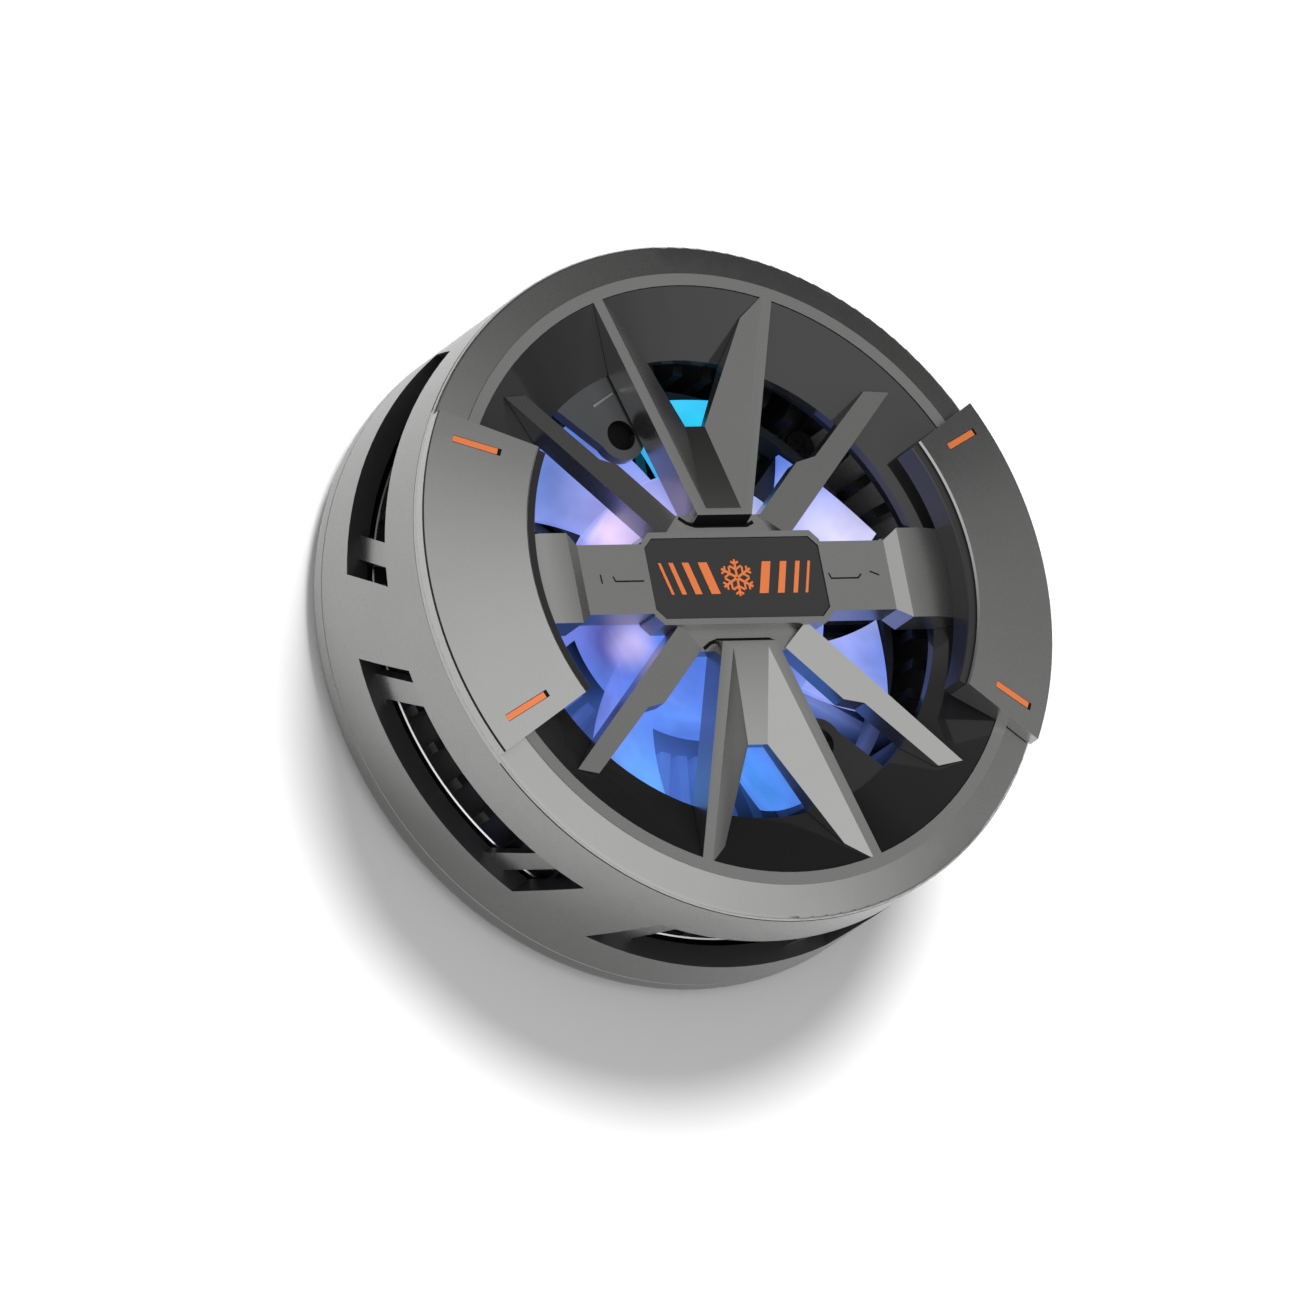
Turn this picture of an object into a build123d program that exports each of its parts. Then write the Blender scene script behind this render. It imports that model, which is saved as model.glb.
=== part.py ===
from build123d import *
from math import cos, degrees, hypot, radians, sin, sqrt
import os

os.makedirs("parts", exist_ok=True)

# Millimetres. The cooler rests on its back pad at z = 0, with its front towards +Z,
# the badge's long side along X and its centre on the Z axis.

# Drum
body_radius = 34.0
body_wall = 2.2
half_turn = 180
cut_overrun = 1.0
touch_gap = 0.05  # between pieces of the front that lie against each other
screw_gap = 0.05  # between a screw and its pilot hole
drop_in_gap = 0.2  # between a piece and the recess that it drops into
seam_chamfer = 0.1
soft_edge = 0.2  # chamfer on the faces that meet the phone

body_inner_radius = body_radius - body_wall

# Front cover: rim and bevel
bevel_width = 3.2
bevel_drop = 1.05
bevel_edge_radius = 0.45
rim_width = 1.2
rim_step = 0.2
cover_band_height = 0.55  # upright band under the bevel, down to the seam
spigot_wall = 0.8
spigot_depth = 1.0
spigot_gap = 0.1

rim_outer_radius = body_radius - bevel_width
rim_inner_radius = rim_outer_radius - rim_width
spigot_outer_radius = body_inner_radius - spigot_gap
spigot_inner_radius = spigot_outer_radius - spigot_wall

# Air guide: the funnel inside the rim
guide_width = 6.45  # from the rim's inner edge to the throat
guide_drop = 3.1
guide_top_drop = 0.15
guide_lip = 1.0
guide_flange = 0.8
guide_outer_radius = rim_inner_radius - touch_gap
guide_inner_radius = guide_outer_radius - guide_width
guide_slope = (guide_drop - guide_top_drop) / guide_width
guide_flange_radius = spigot_inner_radius - spigot_gap

# Screw ears of the air guide
ear_angle = 116.0
ear_reach = 5.7  # from the throat to the hole's centre
ear_hole_radius = 1.5
ear_end_radius = 2.5
ear_root_half_width = 5.2
ear_thickness = 1.2
ear_skin = 0.3  # floor under the blind hole
ear_step = 0.2  # throat's edge down to the ear's face

ear_hole_place_radius = guide_inner_radius - ear_reach
ear_drop = guide_drop + ear_step

# Wings
wing_half_angle = 30.1
wing_reach = 5.25  # from the rim's inner edge towards the middle
wing_overhang = 0.05
wing_inner_height = 3.4
wing_outer_height = 0.6
wing_edge_chamfer = 0.2
wing_bevel_gap = 0.1
slot_edge_angle = 4.3  # from the wing's end
slot_inset = 3.25
slot_length = 4.6
slot_width = 0.5
slot_floor_height = 0.4
accent_gap = 0.03
accent_end_gap = 0.35  # open end of each slot, on the +X side
accent_recess = 0.12

wing_inner_radius = rim_inner_radius - wing_reach
wing_outer_radius = body_radius + wing_overhang
slot_angle = wing_half_angle - slot_edge_angle
slot_inner_radius = wing_inner_radius + slot_inset

# Spokes of the front cover
spoke_clearance = 0.04  # spokes' underside above the throat's edge
badge_half_length = 9.9
badge_half_height = 4.65
badge_corner = 0.95
badge_frame_end = 0.25
badge_frame_side = 0.6
badge_pocket_depth = 0.9
badge_plate_recess = 0.12

spoke_depth = guide_drop - spoke_clearance
badge_pocket_half_length = badge_half_length - badge_frame_end
badge_pocket_half_height = badge_half_height - badge_frame_side

arm_half_width = 3.5
arm_widening = 1.0
arm_rise = 0.67
arm_foot_run = 3.25
arm_flat_run = 2.8
arm_ramp_run = 1.3
arm_foot_gap = 0.1

arm_wide_half_width = arm_half_width + arm_widening
arm_flat_end = wing_inner_radius - arm_foot_run
arm_ramp_end = arm_flat_end - arm_flat_run
arm_ramp_start = arm_ramp_end - arm_ramp_run

hub_plate_drop = 1.5
hub_plate_inset = 2.8  # from the badge frame's end
hub_plate_taper = 2.2
hub_plate_reach = 2.2  # past the badge frame's long side

hub_plate_half_root = badge_half_length - hub_plate_inset
hub_plate_half_tip = hub_plate_half_root - hub_plate_taper
hub_plate_tip = badge_half_height + hub_plate_reach

rib_root_gap = 1.7  # from the badge frame's long side
rib_root_half_width = 3.0
rib_strip = 1.05
rib_bar = 0.65
rib_outer_angle = 70.5  # where the rib's outer line meets the rim
rib_inner_angle = 72.55  # where its inner line meets the rim
rib_embed = 0.25
rib_facet_slope = 0.598
rib_web_slope = 0.24
rib_web_share = 0.4214  # web's end, from the rib's root to its tip
rib_corner_share = 0.91  # facet's corner, from root to tip
rib_corner_inset = 1.7
rib_apex_foot = 0.6

rib_root_y = badge_half_height + rib_root_gap

slant_start = 8.0  # along the slanting arm from the middle
slant_step_gap = 5.8  # throat in to the step's end
slant_step_run = 1.8
slant_end_gap = 1.35  # rim in to the longer end
slant_end_skew = 1.55
slant_near_side = 1.87  # towards X from the 45 degree line
slant_far_side = 1.45  # towards Y from it
slant_far_side_narrow = 0.35
slant_far_side_end = 0.12
slant_face_drop = 0.55
slant_tilt = 12.8

slant_step_end = guide_inner_radius - slant_step_gap
slant_step_start = slant_step_end - slant_step_run
slant_near_end = rim_inner_radius - slant_end_gap
slant_far_end = slant_near_end - slant_end_skew

# Back cover
pad_thickness = 1.0
pad_seat_depth = 0.4
pad_land = 1.0  # flat ring outside the pad
pad_inner_gap = 1.3
pad_gap = 0.05
cover_plate = 1.6
cover_rim_height = 1.1
cover_edge_radius = 1.6
cover_spigot_height = 1.3

cover_bottom_z = pad_thickness - pad_seat_depth
cover_floor_z = cover_bottom_z + cover_plate
cover_top_z = cover_floor_z + cover_rim_height  # seam between back cover and shell
pad_outer_radius = body_radius - cover_edge_radius - pad_land

# Screw bosses between the vents
boss_count = 3
boss_radius = 1.9
boss_embed = 0.2  # into the drum's wall
boss_shoulder = 0.6
boss_notch_gap = 0.3
screw_radius = 0.8
screw_head_radius = 1.5
screw_head_height = 0.8
screw_length = 6.0
screw_slot_width = 0.4
screw_slot_depth = 0.35

boss_place_radius = body_inner_radius + boss_embed - boss_radius
boss_shoulder_radius = boss_radius + boss_shoulder
boss_floor_z = cover_top_z + cover_spigot_height

# Magnet ring and its channel
magnet_count = 16
magnet_width = 5.2
magnet_height = 1.5
magnet_gap_angle = 1.2
channel_wall = 0.7
channel_gap = 0.1
channel_boss_gap = 0.1
backing_height = 0.4

channel_outer_radius = boss_place_radius - boss_radius - channel_boss_gap
magnet_outer_radius = channel_outer_radius - channel_wall - channel_gap
magnet_inner_radius = magnet_outer_radius - magnet_width
channel_inner_radius = magnet_inner_radius - channel_gap - channel_wall
channel_height = magnet_height + backing_height

# Thermoelectric stack
cold_flange_gap = 1.0
cold_flange_width = 1.0
cold_flange_height = 0.6
ceramic_height = 0.7
pellet_height = 1.4
pellet_side = 1.4
pellet_rows = 8
pellet_margin = 1.45
thermal_pad_height = 0.35
foam_wall = 1.9  # at the cooler's corners
foam_gap = 0.3

cold_flange_radius = channel_inner_radius - cold_flange_gap
cold_plate_radius = cold_flange_radius - cold_flange_width
pad_inner_radius = cold_plate_radius + pad_inner_gap
peltier_side = (cold_flange_radius - foam_wall) * sqrt(2)
pellet_pitch = (peltier_side - pellet_margin * 2 - pellet_side) / (pellet_rows - 1)
cold_top_z = cover_floor_z + cold_flange_height
pellet_z = cold_top_z + ceramic_height
hot_face_z = pellet_z + pellet_height
thermal_pad_z = hot_face_z + ceramic_height
sink_z = thermal_pad_z + thermal_pad_height

# Fan: radii
ring_inset = 1.4  # throat in to the fan's ring
frame_ring_wall = 0.9
tip_gap = 0.5
hub_wall = 0.9

frame_ring_inner_radius = guide_inner_radius - ring_inset
frame_ring_outer_radius = frame_ring_inner_radius + frame_ring_wall
blade_tip_radius = frame_ring_inner_radius - tip_gap

# Heat sink
sink_wall_gap = 0.8
sink_base = 2.45
sink_fin_count = 48
fin_thickness = 1.0
fin_inner_radius = 13.5
fin_ring_gap = 1.0
fin_step = 2.5  # plate's edge in to the tall fins
low_fin_height = 2.2
tall_fin_height = 6.95

sink_radius = body_inner_radius - sink_wall_gap
tall_fin_inner_radius = frame_ring_outer_radius + fin_ring_gap
tall_fin_outer_radius = sink_radius - fin_step
sink_top_z = sink_z + sink_base
low_fin_z = sink_top_z + low_fin_height
tall_fin_z = sink_top_z + tall_fin_height

# Side vents
vent_count = 6
vent_first_angle = 30.0
vent_low_margin = 0.1  # heat sink's plate up to the vent
vent_high_margin = 0.8  # tall fins up to the vent's top
vent_half_angle = 22.85
vent_slant_angle = 6.75
vent_bar_inner_angle = 14.9
vent_bar_outer_angle = 19.1
vent_bar_recess = 1.3
vent_corner_radius = 0.5

vent_low_z = sink_top_z + vent_low_margin
vent_height = tall_fin_z + vent_high_margin - vent_low_z

# Fan: heights, blades and motor
fan_standoff = 0.2  # low fins to the fan frame
frame_base = 0.8
frame_base_margin = 0.55  # past the motor's board
frame_ring_height = 2.6
strut_count = 4
strut_width = 2.4
lug_reach = 1.6  # from the fan's ring to the screw
lug_radius = 1.9
lug_fin_gap = 0.3
fan_screw_length = 2.6
blade_count = 7
blade_low_clearance = 0.95  # fan frame's base up to the blades
blade_height = 5.0
blade_thickness = 0.6
blade_half_angle = 16.5
blade_camber_share = 0.16
blade_sweep_angle = 13.76  # turned from hub to tip
blade_middle_angle = 27.5
blade_root_overrun = 2.5
blade_tip_overrun = 1.3
hub_rise = 0.7  # blades' top edge up to the hub's face
hub_edge_radius = 0.8
yoke_wall = 0.6
yoke_height = 4.4
yoke_gap = 0.05
magnet_wall = 1.5
rotor_magnet_height = 3.6
air_gap = 0.35
shaft_radius = 1.0
shaft_end_gap = 0.1
shaft_socket = 0.6
bearing_clearance = 0.03
bush_wall = 1.6
tube_gap = 0.05
tube_wall = 0.65
stator_height = 2.4
stator_teeth = 6
tooth_width = 2.2
tooth_face = 1.0
tooth_opening = 1.1
stator_yoke_wall = 1.0
coil_thickness = 0.5
coil_length = 3.02  # along the tooth
motor_board_thickness = 0.5
motor_board_margin = 0.4
coil_lift = 0.3  # motor board up to the coils

frame_z = low_fin_z + fan_standoff
frame_floor_z = frame_z + frame_base
lug_place_radius = frame_ring_outer_radius + lug_reach
blade_z = frame_floor_z + blade_low_clearance
blade_top_z = blade_z + blade_height
hub_top_z = blade_top_z + hub_rise
hub_inner_z = hub_top_z - hub_wall
yoke_ceiling_z = hub_inner_z - yoke_wall
# the motor from its shaft out to the hub
bush_inner_radius = shaft_radius + bearing_clearance
bush_outer_radius = bush_inner_radius + bush_wall
tube_inner_radius = bush_outer_radius + tube_gap
tube_outer_radius = tube_inner_radius + tube_wall
stator_bore_radius = tube_outer_radius + tube_gap
stator_yoke_radius = stator_bore_radius + stator_yoke_wall
coil_inner_radius = stator_yoke_radius + coil_thickness
coil_outer_radius = coil_inner_radius + coil_length
tooth_face_radius = coil_outer_radius + coil_thickness / 2
stator_radius = tooth_face_radius + tooth_face
rotor_magnet_inner_radius = stator_radius + air_gap
rotor_magnet_outer_radius = rotor_magnet_inner_radius + magnet_wall
yoke_inner_radius = rotor_magnet_outer_radius + yoke_gap
yoke_outer_radius = yoke_inner_radius + yoke_wall
hub_inner_radius = yoke_outer_radius + yoke_gap
hub_radius = hub_inner_radius + hub_wall
motor_board_radius = yoke_inner_radius - motor_board_margin
frame_base_radius = motor_board_radius + frame_base_margin
rotor_magnet_z = yoke_ceiling_z - rotor_magnet_height
stator_z = frame_floor_z + motor_board_thickness + coil_lift + coil_thickness
tube_top_z = yoke_ceiling_z - coil_thickness

# Control board, lights and power socket
board_lift = 1.25  # tall fins up to the board
board_thickness = 1.0
board_inset = 1.5  # throat out to the board's inner edge
board_wall_gap = 0.2
led_count = 8
led_first_angle = 37.5
led_length = 3.0
led_depth = 2.0
led_height = 1.2
led_inset = 0.3
socket_angle = 60.0
socket_width = 8.94
socket_height = 3.16
socket_depth = 7.35
socket_wall = 0.3
socket_back_wall = 0.9
socket_inset = 0.35
socket_opening_gap = 0.2
socket_headroom = 0.34  # socket up to the air guide's flange
tongue_width = 6.69
tongue_thickness = 0.7
tongue_length = 4.45
post_radius = 1.3

board_z = tall_fin_z + board_lift
board_top_z = board_z + board_thickness
board_inner_radius = guide_inner_radius + board_inset
board_outer_radius = body_inner_radius - board_wall_gap
led_place_radius = board_inner_radius + led_inset + led_depth / 2
post_place_radius = boss_place_radius - post_radius

# Levels of the front, stacked on the socket
guide_flange_z = board_top_z + socket_height + socket_headroom
shell_top_z = guide_flange_z + guide_flange
rim_z = shell_top_z + cover_band_height + bevel_drop  # rim, badge frame and rib faces


def radial_plane(angle):
    """Upright plane through the Z axis, its x pointing outwards at this angle."""
    return Plane(
        origin=(0, 0, 0),
        x_dir=(cos(radians(angle)), sin(radians(angle)), 0),
        z_dir=(sin(radians(angle)), -cos(radians(angle)), 0),
    )


def facing_plane(radius, angle, height=0):
    """Upright plane that looks outwards from a point at this radius and angle."""
    return Plane(
        origin=(radius * cos(radians(angle)), radius * sin(radians(angle)), height),
        x_dir=(-sin(radians(angle)), cos(radians(angle)), 0),
        z_dir=(cos(radians(angle)), sin(radians(angle)), 0),
    )


def polar_point(radius, angle):
    """Point in plan at this radius and angle."""
    return (radius * cos(radians(angle)), radius * sin(radians(angle)))


def outline(*points):
    """Straight-sided face in the current sketch, through these points."""
    Polygon(*points, align=None)


def save(builder, name):
    """Label a finished piece and write it."""
    builder.part.label = name
    export_step(builder.part, f"parts/{name}.step")


# Back pad: soft ring that meets the phone round the cold plate
with BuildPart() as back_pad:
    with BuildSketch(Plane.XY):
        Circle(pad_outer_radius)
        Circle(pad_inner_radius, mode=Mode.SUBTRACT)
    extrude(amount=pad_thickness)
    chamfer(back_pad.edges().group_by(Axis.Z)[0], soft_edge)
save(back_pad, "back_pad")

# Cold plate: disc with a flange that rests on the back cover
with BuildPart() as cold_plate:
    with BuildSketch(Plane.XY):
        Circle(cold_plate_radius)
    extrude(amount=cold_top_z)
    with BuildSketch(Plane.XY.offset(cover_floor_z)):
        Circle(cold_flange_radius)
    extrude(amount=cold_flange_height)
    chamfer(cold_plate.edges().group_by(Axis.Z)[0], soft_edge)
save(cold_plate, "cold_plate")

# Back cover: plate with a rounded outer edge, a pad recess and the magnets' channel
with BuildPart() as back_cover:
    with BuildSketch(Plane.XY.offset(cover_bottom_z)):
        Circle(body_radius)
    extrude(amount=cover_top_z - cover_bottom_z)
    fillet(back_cover.edges().group_by(Axis.Z)[0], cover_edge_radius)
    with BuildSketch(Plane.XY.offset(cover_floor_z)):
        Circle(spigot_inner_radius)
    extrude(amount=cover_top_z - cover_floor_z, mode=Mode.SUBTRACT)
    with BuildSketch(Plane.XY.offset(cover_top_z)):
        Circle(spigot_outer_radius)
        Circle(spigot_inner_radius, mode=Mode.SUBTRACT)
    extrude(amount=cover_spigot_height)
    with BuildSketch(Plane.XY.offset(cover_floor_z)):
        Circle(channel_outer_radius)
        Circle(channel_outer_radius - channel_wall, mode=Mode.SUBTRACT)
        Circle(channel_inner_radius + channel_wall)
        Circle(channel_inner_radius, mode=Mode.SUBTRACT)
    extrude(amount=channel_height)
    with BuildSketch(Plane.XY.offset(cover_floor_z)):
        with PolarLocations(boss_place_radius, boss_count):
            Circle(boss_radius)
    extrude(amount=boss_floor_z - cover_floor_z)
    with BuildSketch(Plane.XY.offset(cover_top_z)):
        Circle(body_radius)
        Circle(spigot_outer_radius, mode=Mode.SUBTRACT)
    extrude(amount=cover_spigot_height, mode=Mode.SUBTRACT)
    with BuildSketch(Plane.XY):
        Circle(pad_outer_radius + pad_gap)
    extrude(amount=pad_thickness, mode=Mode.SUBTRACT)
    with BuildSketch(Plane.XY):
        Circle(cold_plate_radius + drop_in_gap)
    extrude(amount=boss_floor_z, mode=Mode.SUBTRACT)
    with BuildSketch(Plane.XY.offset(pad_thickness)):
        with PolarLocations(boss_place_radius, boss_count):
            Circle(screw_radius + screw_gap)
    extrude(amount=boss_floor_z, mode=Mode.SUBTRACT)
    with BuildSketch(Plane.XY.offset(pad_thickness)):
        with PolarLocations(boss_place_radius, boss_count):
            Circle(screw_head_radius + screw_gap)
    extrude(amount=screw_head_height + screw_gap, mode=Mode.SUBTRACT)
save(back_cover, "back_cover")

# Back screws: under the pad, up into the shell's bosses
back_screw_z = pad_thickness + screw_gap
with BuildPart() as back_screws:
    with BuildSketch(Plane.XY.offset(back_screw_z)):
        with PolarLocations(boss_place_radius, boss_count):
            Circle(screw_head_radius)
    extrude(amount=screw_head_height)
    with BuildSketch(Plane.XY.offset(back_screw_z)):
        with PolarLocations(boss_place_radius, boss_count):
            Circle(screw_radius)
    extrude(amount=screw_length)
    with BuildSketch(Plane.XY.offset(back_screw_z)):
        with PolarLocations(boss_place_radius, boss_count):
            Rectangle(screw_head_radius, screw_slot_width)
            Rectangle(screw_slot_width, screw_head_radius)
    extrude(amount=screw_slot_depth, mode=Mode.SUBTRACT)
save(back_screws, "back_screws")

# Magnets: ring of segments that holds the cooler on a phone
with BuildPart() as holding_magnets:
    with BuildSketch(radial_plane(0)):
        outline(
            (magnet_inner_radius, cover_floor_z),
            (magnet_outer_radius, cover_floor_z),
            (magnet_outer_radius, cover_floor_z + magnet_height),
            (magnet_inner_radius, cover_floor_z + magnet_height),
        )
    magnet_segment = revolve(
        axis=Axis.Z, revolution_arc=360 / magnet_count - magnet_gap_angle, mode=Mode.PRIVATE
    )
    with PolarLocations(0, magnet_count):
        add(magnet_segment)
save(holding_magnets, "holding_magnets")

with BuildPart() as magnet_backing_ring:
    with BuildSketch(Plane.XY.offset(cover_floor_z + magnet_height)):
        Circle(magnet_outer_radius)
        Circle(magnet_inner_radius, mode=Mode.SUBTRACT)
    extrude(amount=backing_height)
save(magnet_backing_ring, "magnet_backing_ring")

# Thermoelectric cooler: cold face, pellets, hot face
with BuildPart() as peltier_cold_face:
    with BuildSketch(Plane.XY.offset(cold_top_z)):
        Rectangle(peltier_side, peltier_side)
    extrude(amount=ceramic_height)
save(peltier_cold_face, "peltier_cold_face")

with BuildPart() as peltier_pellets:
    with BuildSketch(Plane.XY.offset(pellet_z)):
        with GridLocations(pellet_pitch, pellet_pitch, pellet_rows, pellet_rows):
            Rectangle(pellet_side, pellet_side)
    extrude(amount=pellet_height)
save(peltier_pellets, "peltier_pellets")

with BuildPart() as peltier_hot_face:
    with BuildSketch(Plane.XY.offset(hot_face_z)):
        Rectangle(peltier_side, peltier_side)
    extrude(amount=ceramic_height)
save(peltier_hot_face, "peltier_hot_face")

with BuildPart() as thermal_pad:
    with BuildSketch(Plane.XY.offset(thermal_pad_z)):
        Rectangle(peltier_side, peltier_side)
    extrude(amount=thermal_pad_height)
save(thermal_pad, "thermal_pad")

# Insulation foam: ring round the cooler, between cold plate and heat sink
with BuildPart() as insulation_foam:
    with BuildSketch(Plane.XY.offset(cold_top_z)):
        Circle(cold_flange_radius)
        Rectangle(peltier_side + foam_gap, peltier_side + foam_gap, mode=Mode.SUBTRACT)
    extrude(amount=sink_z - cold_top_z)
save(insulation_foam, "insulation_foam")

# Heat sink: plate with radial fins, low under the fan and tall round it
lug_bosses = PolarLocations(lug_place_radius, strut_count, start_angle=45)
notch_radius = boss_shoulder_radius + boss_notch_gap
with BuildPart() as fin:
    with BuildSketch(radial_plane(0)) as fin_profile:
        outline(
            (fin_inner_radius, sink_top_z),
            (sink_radius, sink_top_z),
            (sink_radius, low_fin_z),
            (tall_fin_outer_radius, low_fin_z),
            (tall_fin_outer_radius, tall_fin_z),
            (tall_fin_inner_radius, tall_fin_z),
            (tall_fin_inner_radius, low_fin_z),
            (fin_inner_radius, low_fin_z),
        )
    extrude(amount=fin_thickness / 2, both=True)
with BuildPart() as heat_sink:
    with BuildSketch(Plane.XY.offset(sink_z)):
        Circle(sink_radius)
    extrude(amount=sink_base)
    with PolarLocations(0, sink_fin_count):
        add(fin.part)
    # room for the fan's lugs, then the bosses that carry them
    with BuildSketch(Plane.XY.offset(low_fin_z)):
        with lug_bosses:
            Circle(lug_radius + lug_fin_gap)
    extrude(amount=tall_fin_height, mode=Mode.SUBTRACT)
    with BuildSketch(Plane.XY.offset(sink_top_z)):
        with lug_bosses:
            Circle(lug_radius)
    extrude(amount=frame_z - sink_top_z)
    with BuildSketch(Plane.XY.offset(frame_z)):
        with lug_bosses:
            Circle(screw_radius + screw_gap)
    extrude(amount=-fan_screw_length + frame_base - screw_gap, mode=Mode.SUBTRACT)
    # notches for the shell's bosses: narrow through the plate, wide above it
    with BuildSketch(Plane.XY.offset(sink_z)):
        with PolarLocations(boss_place_radius, boss_count):
            Circle(boss_radius + boss_notch_gap)
    extrude(amount=sink_base, mode=Mode.SUBTRACT)
    with BuildSketch(Plane.XY.offset(sink_top_z)):
        with PolarLocations(boss_place_radius, boss_count):
            Circle(notch_radius)
    extrude(amount=tall_fin_height, mode=Mode.SUBTRACT)
save(heat_sink, "heat_sink")

# Fan frame: base with the bearing tube, struts, outer ring and screw lugs
with BuildPart() as fan_frame:
    with BuildSketch(Plane.XY.offset(frame_z)):
        Circle(frame_base_radius)
        with PolarLocations(0, strut_count, start_angle=45):
            with Locations((frame_ring_inner_radius / 2, 0)):
                Rectangle(frame_ring_inner_radius, strut_width)
        with lug_bosses:
            Circle(lug_radius)
    extrude(amount=frame_base)
    with BuildSketch(Plane.XY.offset(frame_z)):
        Circle(frame_ring_outer_radius)
        Circle(frame_ring_inner_radius, mode=Mode.SUBTRACT)
    extrude(amount=frame_ring_height)
    with BuildSketch(Plane.XY.offset(frame_z)):
        Circle(tube_outer_radius)
    extrude(amount=tube_top_z - frame_z)
    with BuildSketch(Plane.XY.offset(frame_floor_z)):
        Circle(tube_inner_radius)
    extrude(amount=tube_top_z - frame_floor_z, mode=Mode.SUBTRACT)
    with BuildSketch(Plane.XY.offset(frame_z)):
        with lug_bosses:
            Circle(screw_radius + screw_gap)
    extrude(amount=frame_base, mode=Mode.SUBTRACT)
save(fan_frame, "fan_frame")

with BuildPart() as fan_screws:
    with BuildSketch(Plane.XY.offset(frame_floor_z)):
        with lug_bosses:
            Circle(screw_head_radius)
    extrude(amount=screw_head_height)
    with BuildSketch(Plane.XY.offset(frame_floor_z)):
        with lug_bosses:
            Circle(screw_radius)
    extrude(amount=-fan_screw_length)
    with BuildSketch(Plane.XY.offset(frame_floor_z + screw_head_height)):
        with lug_bosses:
            Rectangle(screw_head_radius, screw_slot_width)
            Rectangle(screw_slot_width, screw_head_radius)
    extrude(amount=-screw_slot_depth, mode=Mode.SUBTRACT)
save(fan_screws, "fan_screws")

# Motor: bush, stator, coils and its board stand still; shaft, yoke and magnet turn
with BuildPart() as bearing_bush:
    with BuildSketch(Plane.XY.offset(frame_floor_z)):
        Circle(bush_outer_radius)
        Circle(bush_inner_radius, mode=Mode.SUBTRACT)
    extrude(amount=tube_top_z - frame_floor_z)
save(bearing_bush, "bearing_bush")

with BuildPart() as motor_board:
    with BuildSketch(Plane.XY.offset(frame_floor_z)):
        Circle(motor_board_radius)
        Circle(stator_bore_radius, mode=Mode.SUBTRACT)
    extrude(amount=motor_board_thickness)
save(motor_board, "motor_board")

with BuildPart() as stator_core:
    with BuildSketch(Plane.XY.offset(stator_z)):
        Circle(stator_radius)
        Circle(tooth_face_radius, mode=Mode.SUBTRACT)
        with PolarLocations(0, stator_teeth, start_angle=half_turn / stator_teeth):
            with Locations((stator_radius, 0)):
                Rectangle((tooth_face + cut_overrun) * 2, tooth_opening, mode=Mode.SUBTRACT)
        Circle(stator_yoke_radius)
        with PolarLocations(0, stator_teeth):
            with Locations(((stator_bore_radius + tooth_face_radius + tooth_face / 2) / 2, 0)):
                Rectangle(tooth_face_radius + tooth_face / 2 - stator_bore_radius, tooth_width)
        Circle(stator_bore_radius, mode=Mode.SUBTRACT)
    extrude(amount=stator_height)
save(stator_core, "stator_core")

coil_middle_z = stator_z + stator_height / 2
coil_half_height = stator_height / 2 + coil_thickness
with BuildPart() as coil:
    with BuildSketch(facing_plane(coil_inner_radius, 0, coil_middle_z)):
        Rectangle(tooth_width + coil_thickness * 2, coil_half_height * 2)
        Rectangle(tooth_width + tube_gap * 2, stator_height + tube_gap * 2, mode=Mode.SUBTRACT)
    extrude(amount=coil_outer_radius - coil_inner_radius)
    fillet(coil.edges().filter_by(Axis.X).group_by(Axis.Z)[-1], coil_thickness / 2)
    fillet(coil.edges().filter_by(Axis.X).group_by(Axis.Z)[0], coil_thickness / 2)
with BuildPart() as stator_coils:
    with PolarLocations(0, stator_teeth):
        add(coil.part)
save(stator_coils, "stator_coils")

shaft_z = frame_floor_z + shaft_end_gap
shaft_top_z = hub_inner_z + shaft_socket
with BuildPart() as motor_shaft:
    with BuildSketch(Plane.XY.offset(shaft_z)):
        Circle(shaft_radius)
    extrude(amount=shaft_top_z - shaft_z)
    chamfer(motor_shaft.edges().group_by(Axis.Z)[0], shaft_end_gap)
save(motor_shaft, "motor_shaft")

with BuildPart() as rotor_yoke:
    with BuildSketch(Plane.XY.offset(yoke_ceiling_z + yoke_wall - yoke_height)):
        Circle(yoke_outer_radius)
    extrude(amount=yoke_height)
    with BuildSketch(Plane.XY.offset(yoke_ceiling_z)):
        Circle(yoke_inner_radius)
    extrude(amount=-yoke_height, mode=Mode.SUBTRACT)
    with BuildSketch(Plane.XY.offset(yoke_ceiling_z)):
        Circle(shaft_radius)
    extrude(amount=yoke_wall, mode=Mode.SUBTRACT)
save(rotor_yoke, "rotor_yoke")

with BuildPart() as rotor_magnet:
    with BuildSketch(Plane.XY.offset(rotor_magnet_z)):
        Circle(rotor_magnet_outer_radius)
        Circle(rotor_magnet_inner_radius, mode=Mode.SUBTRACT)
    extrude(amount=rotor_magnet_height)
save(rotor_magnet, "rotor_magnet")


# Impeller: each blade is lofted through three sections, further round as they go out
def blade_section(radius):
    """Thin cambered section, high on its leading side, on a plane at this radius."""
    half_chord = radius * sin(radians(blade_half_angle))
    turned_share = (radius - section_radii[1]) / (blade_tip_radius - hub_radius)
    angle = blade_middle_angle + blade_sweep_angle * turned_share
    sag = blade_camber_share * blade_height
    half = blade_thickness / 2
    with BuildSketch(facing_plane(radius, angle, blade_z + blade_height / 2)) as section:
        with BuildLine():
            low = -blade_height / 2 + half
            high = blade_height / 2 - half
            under = ThreePointArc((-half_chord, high - half), (0, -half - sag), (half_chord, low - half))
            over = ThreePointArc((-half_chord, high + half), (0, half - sag), (half_chord, low + half))
            Line(under @ 0, over @ 0)
            Line(under @ 1, over @ 1)
        make_face()
    return section.sketch


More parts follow.
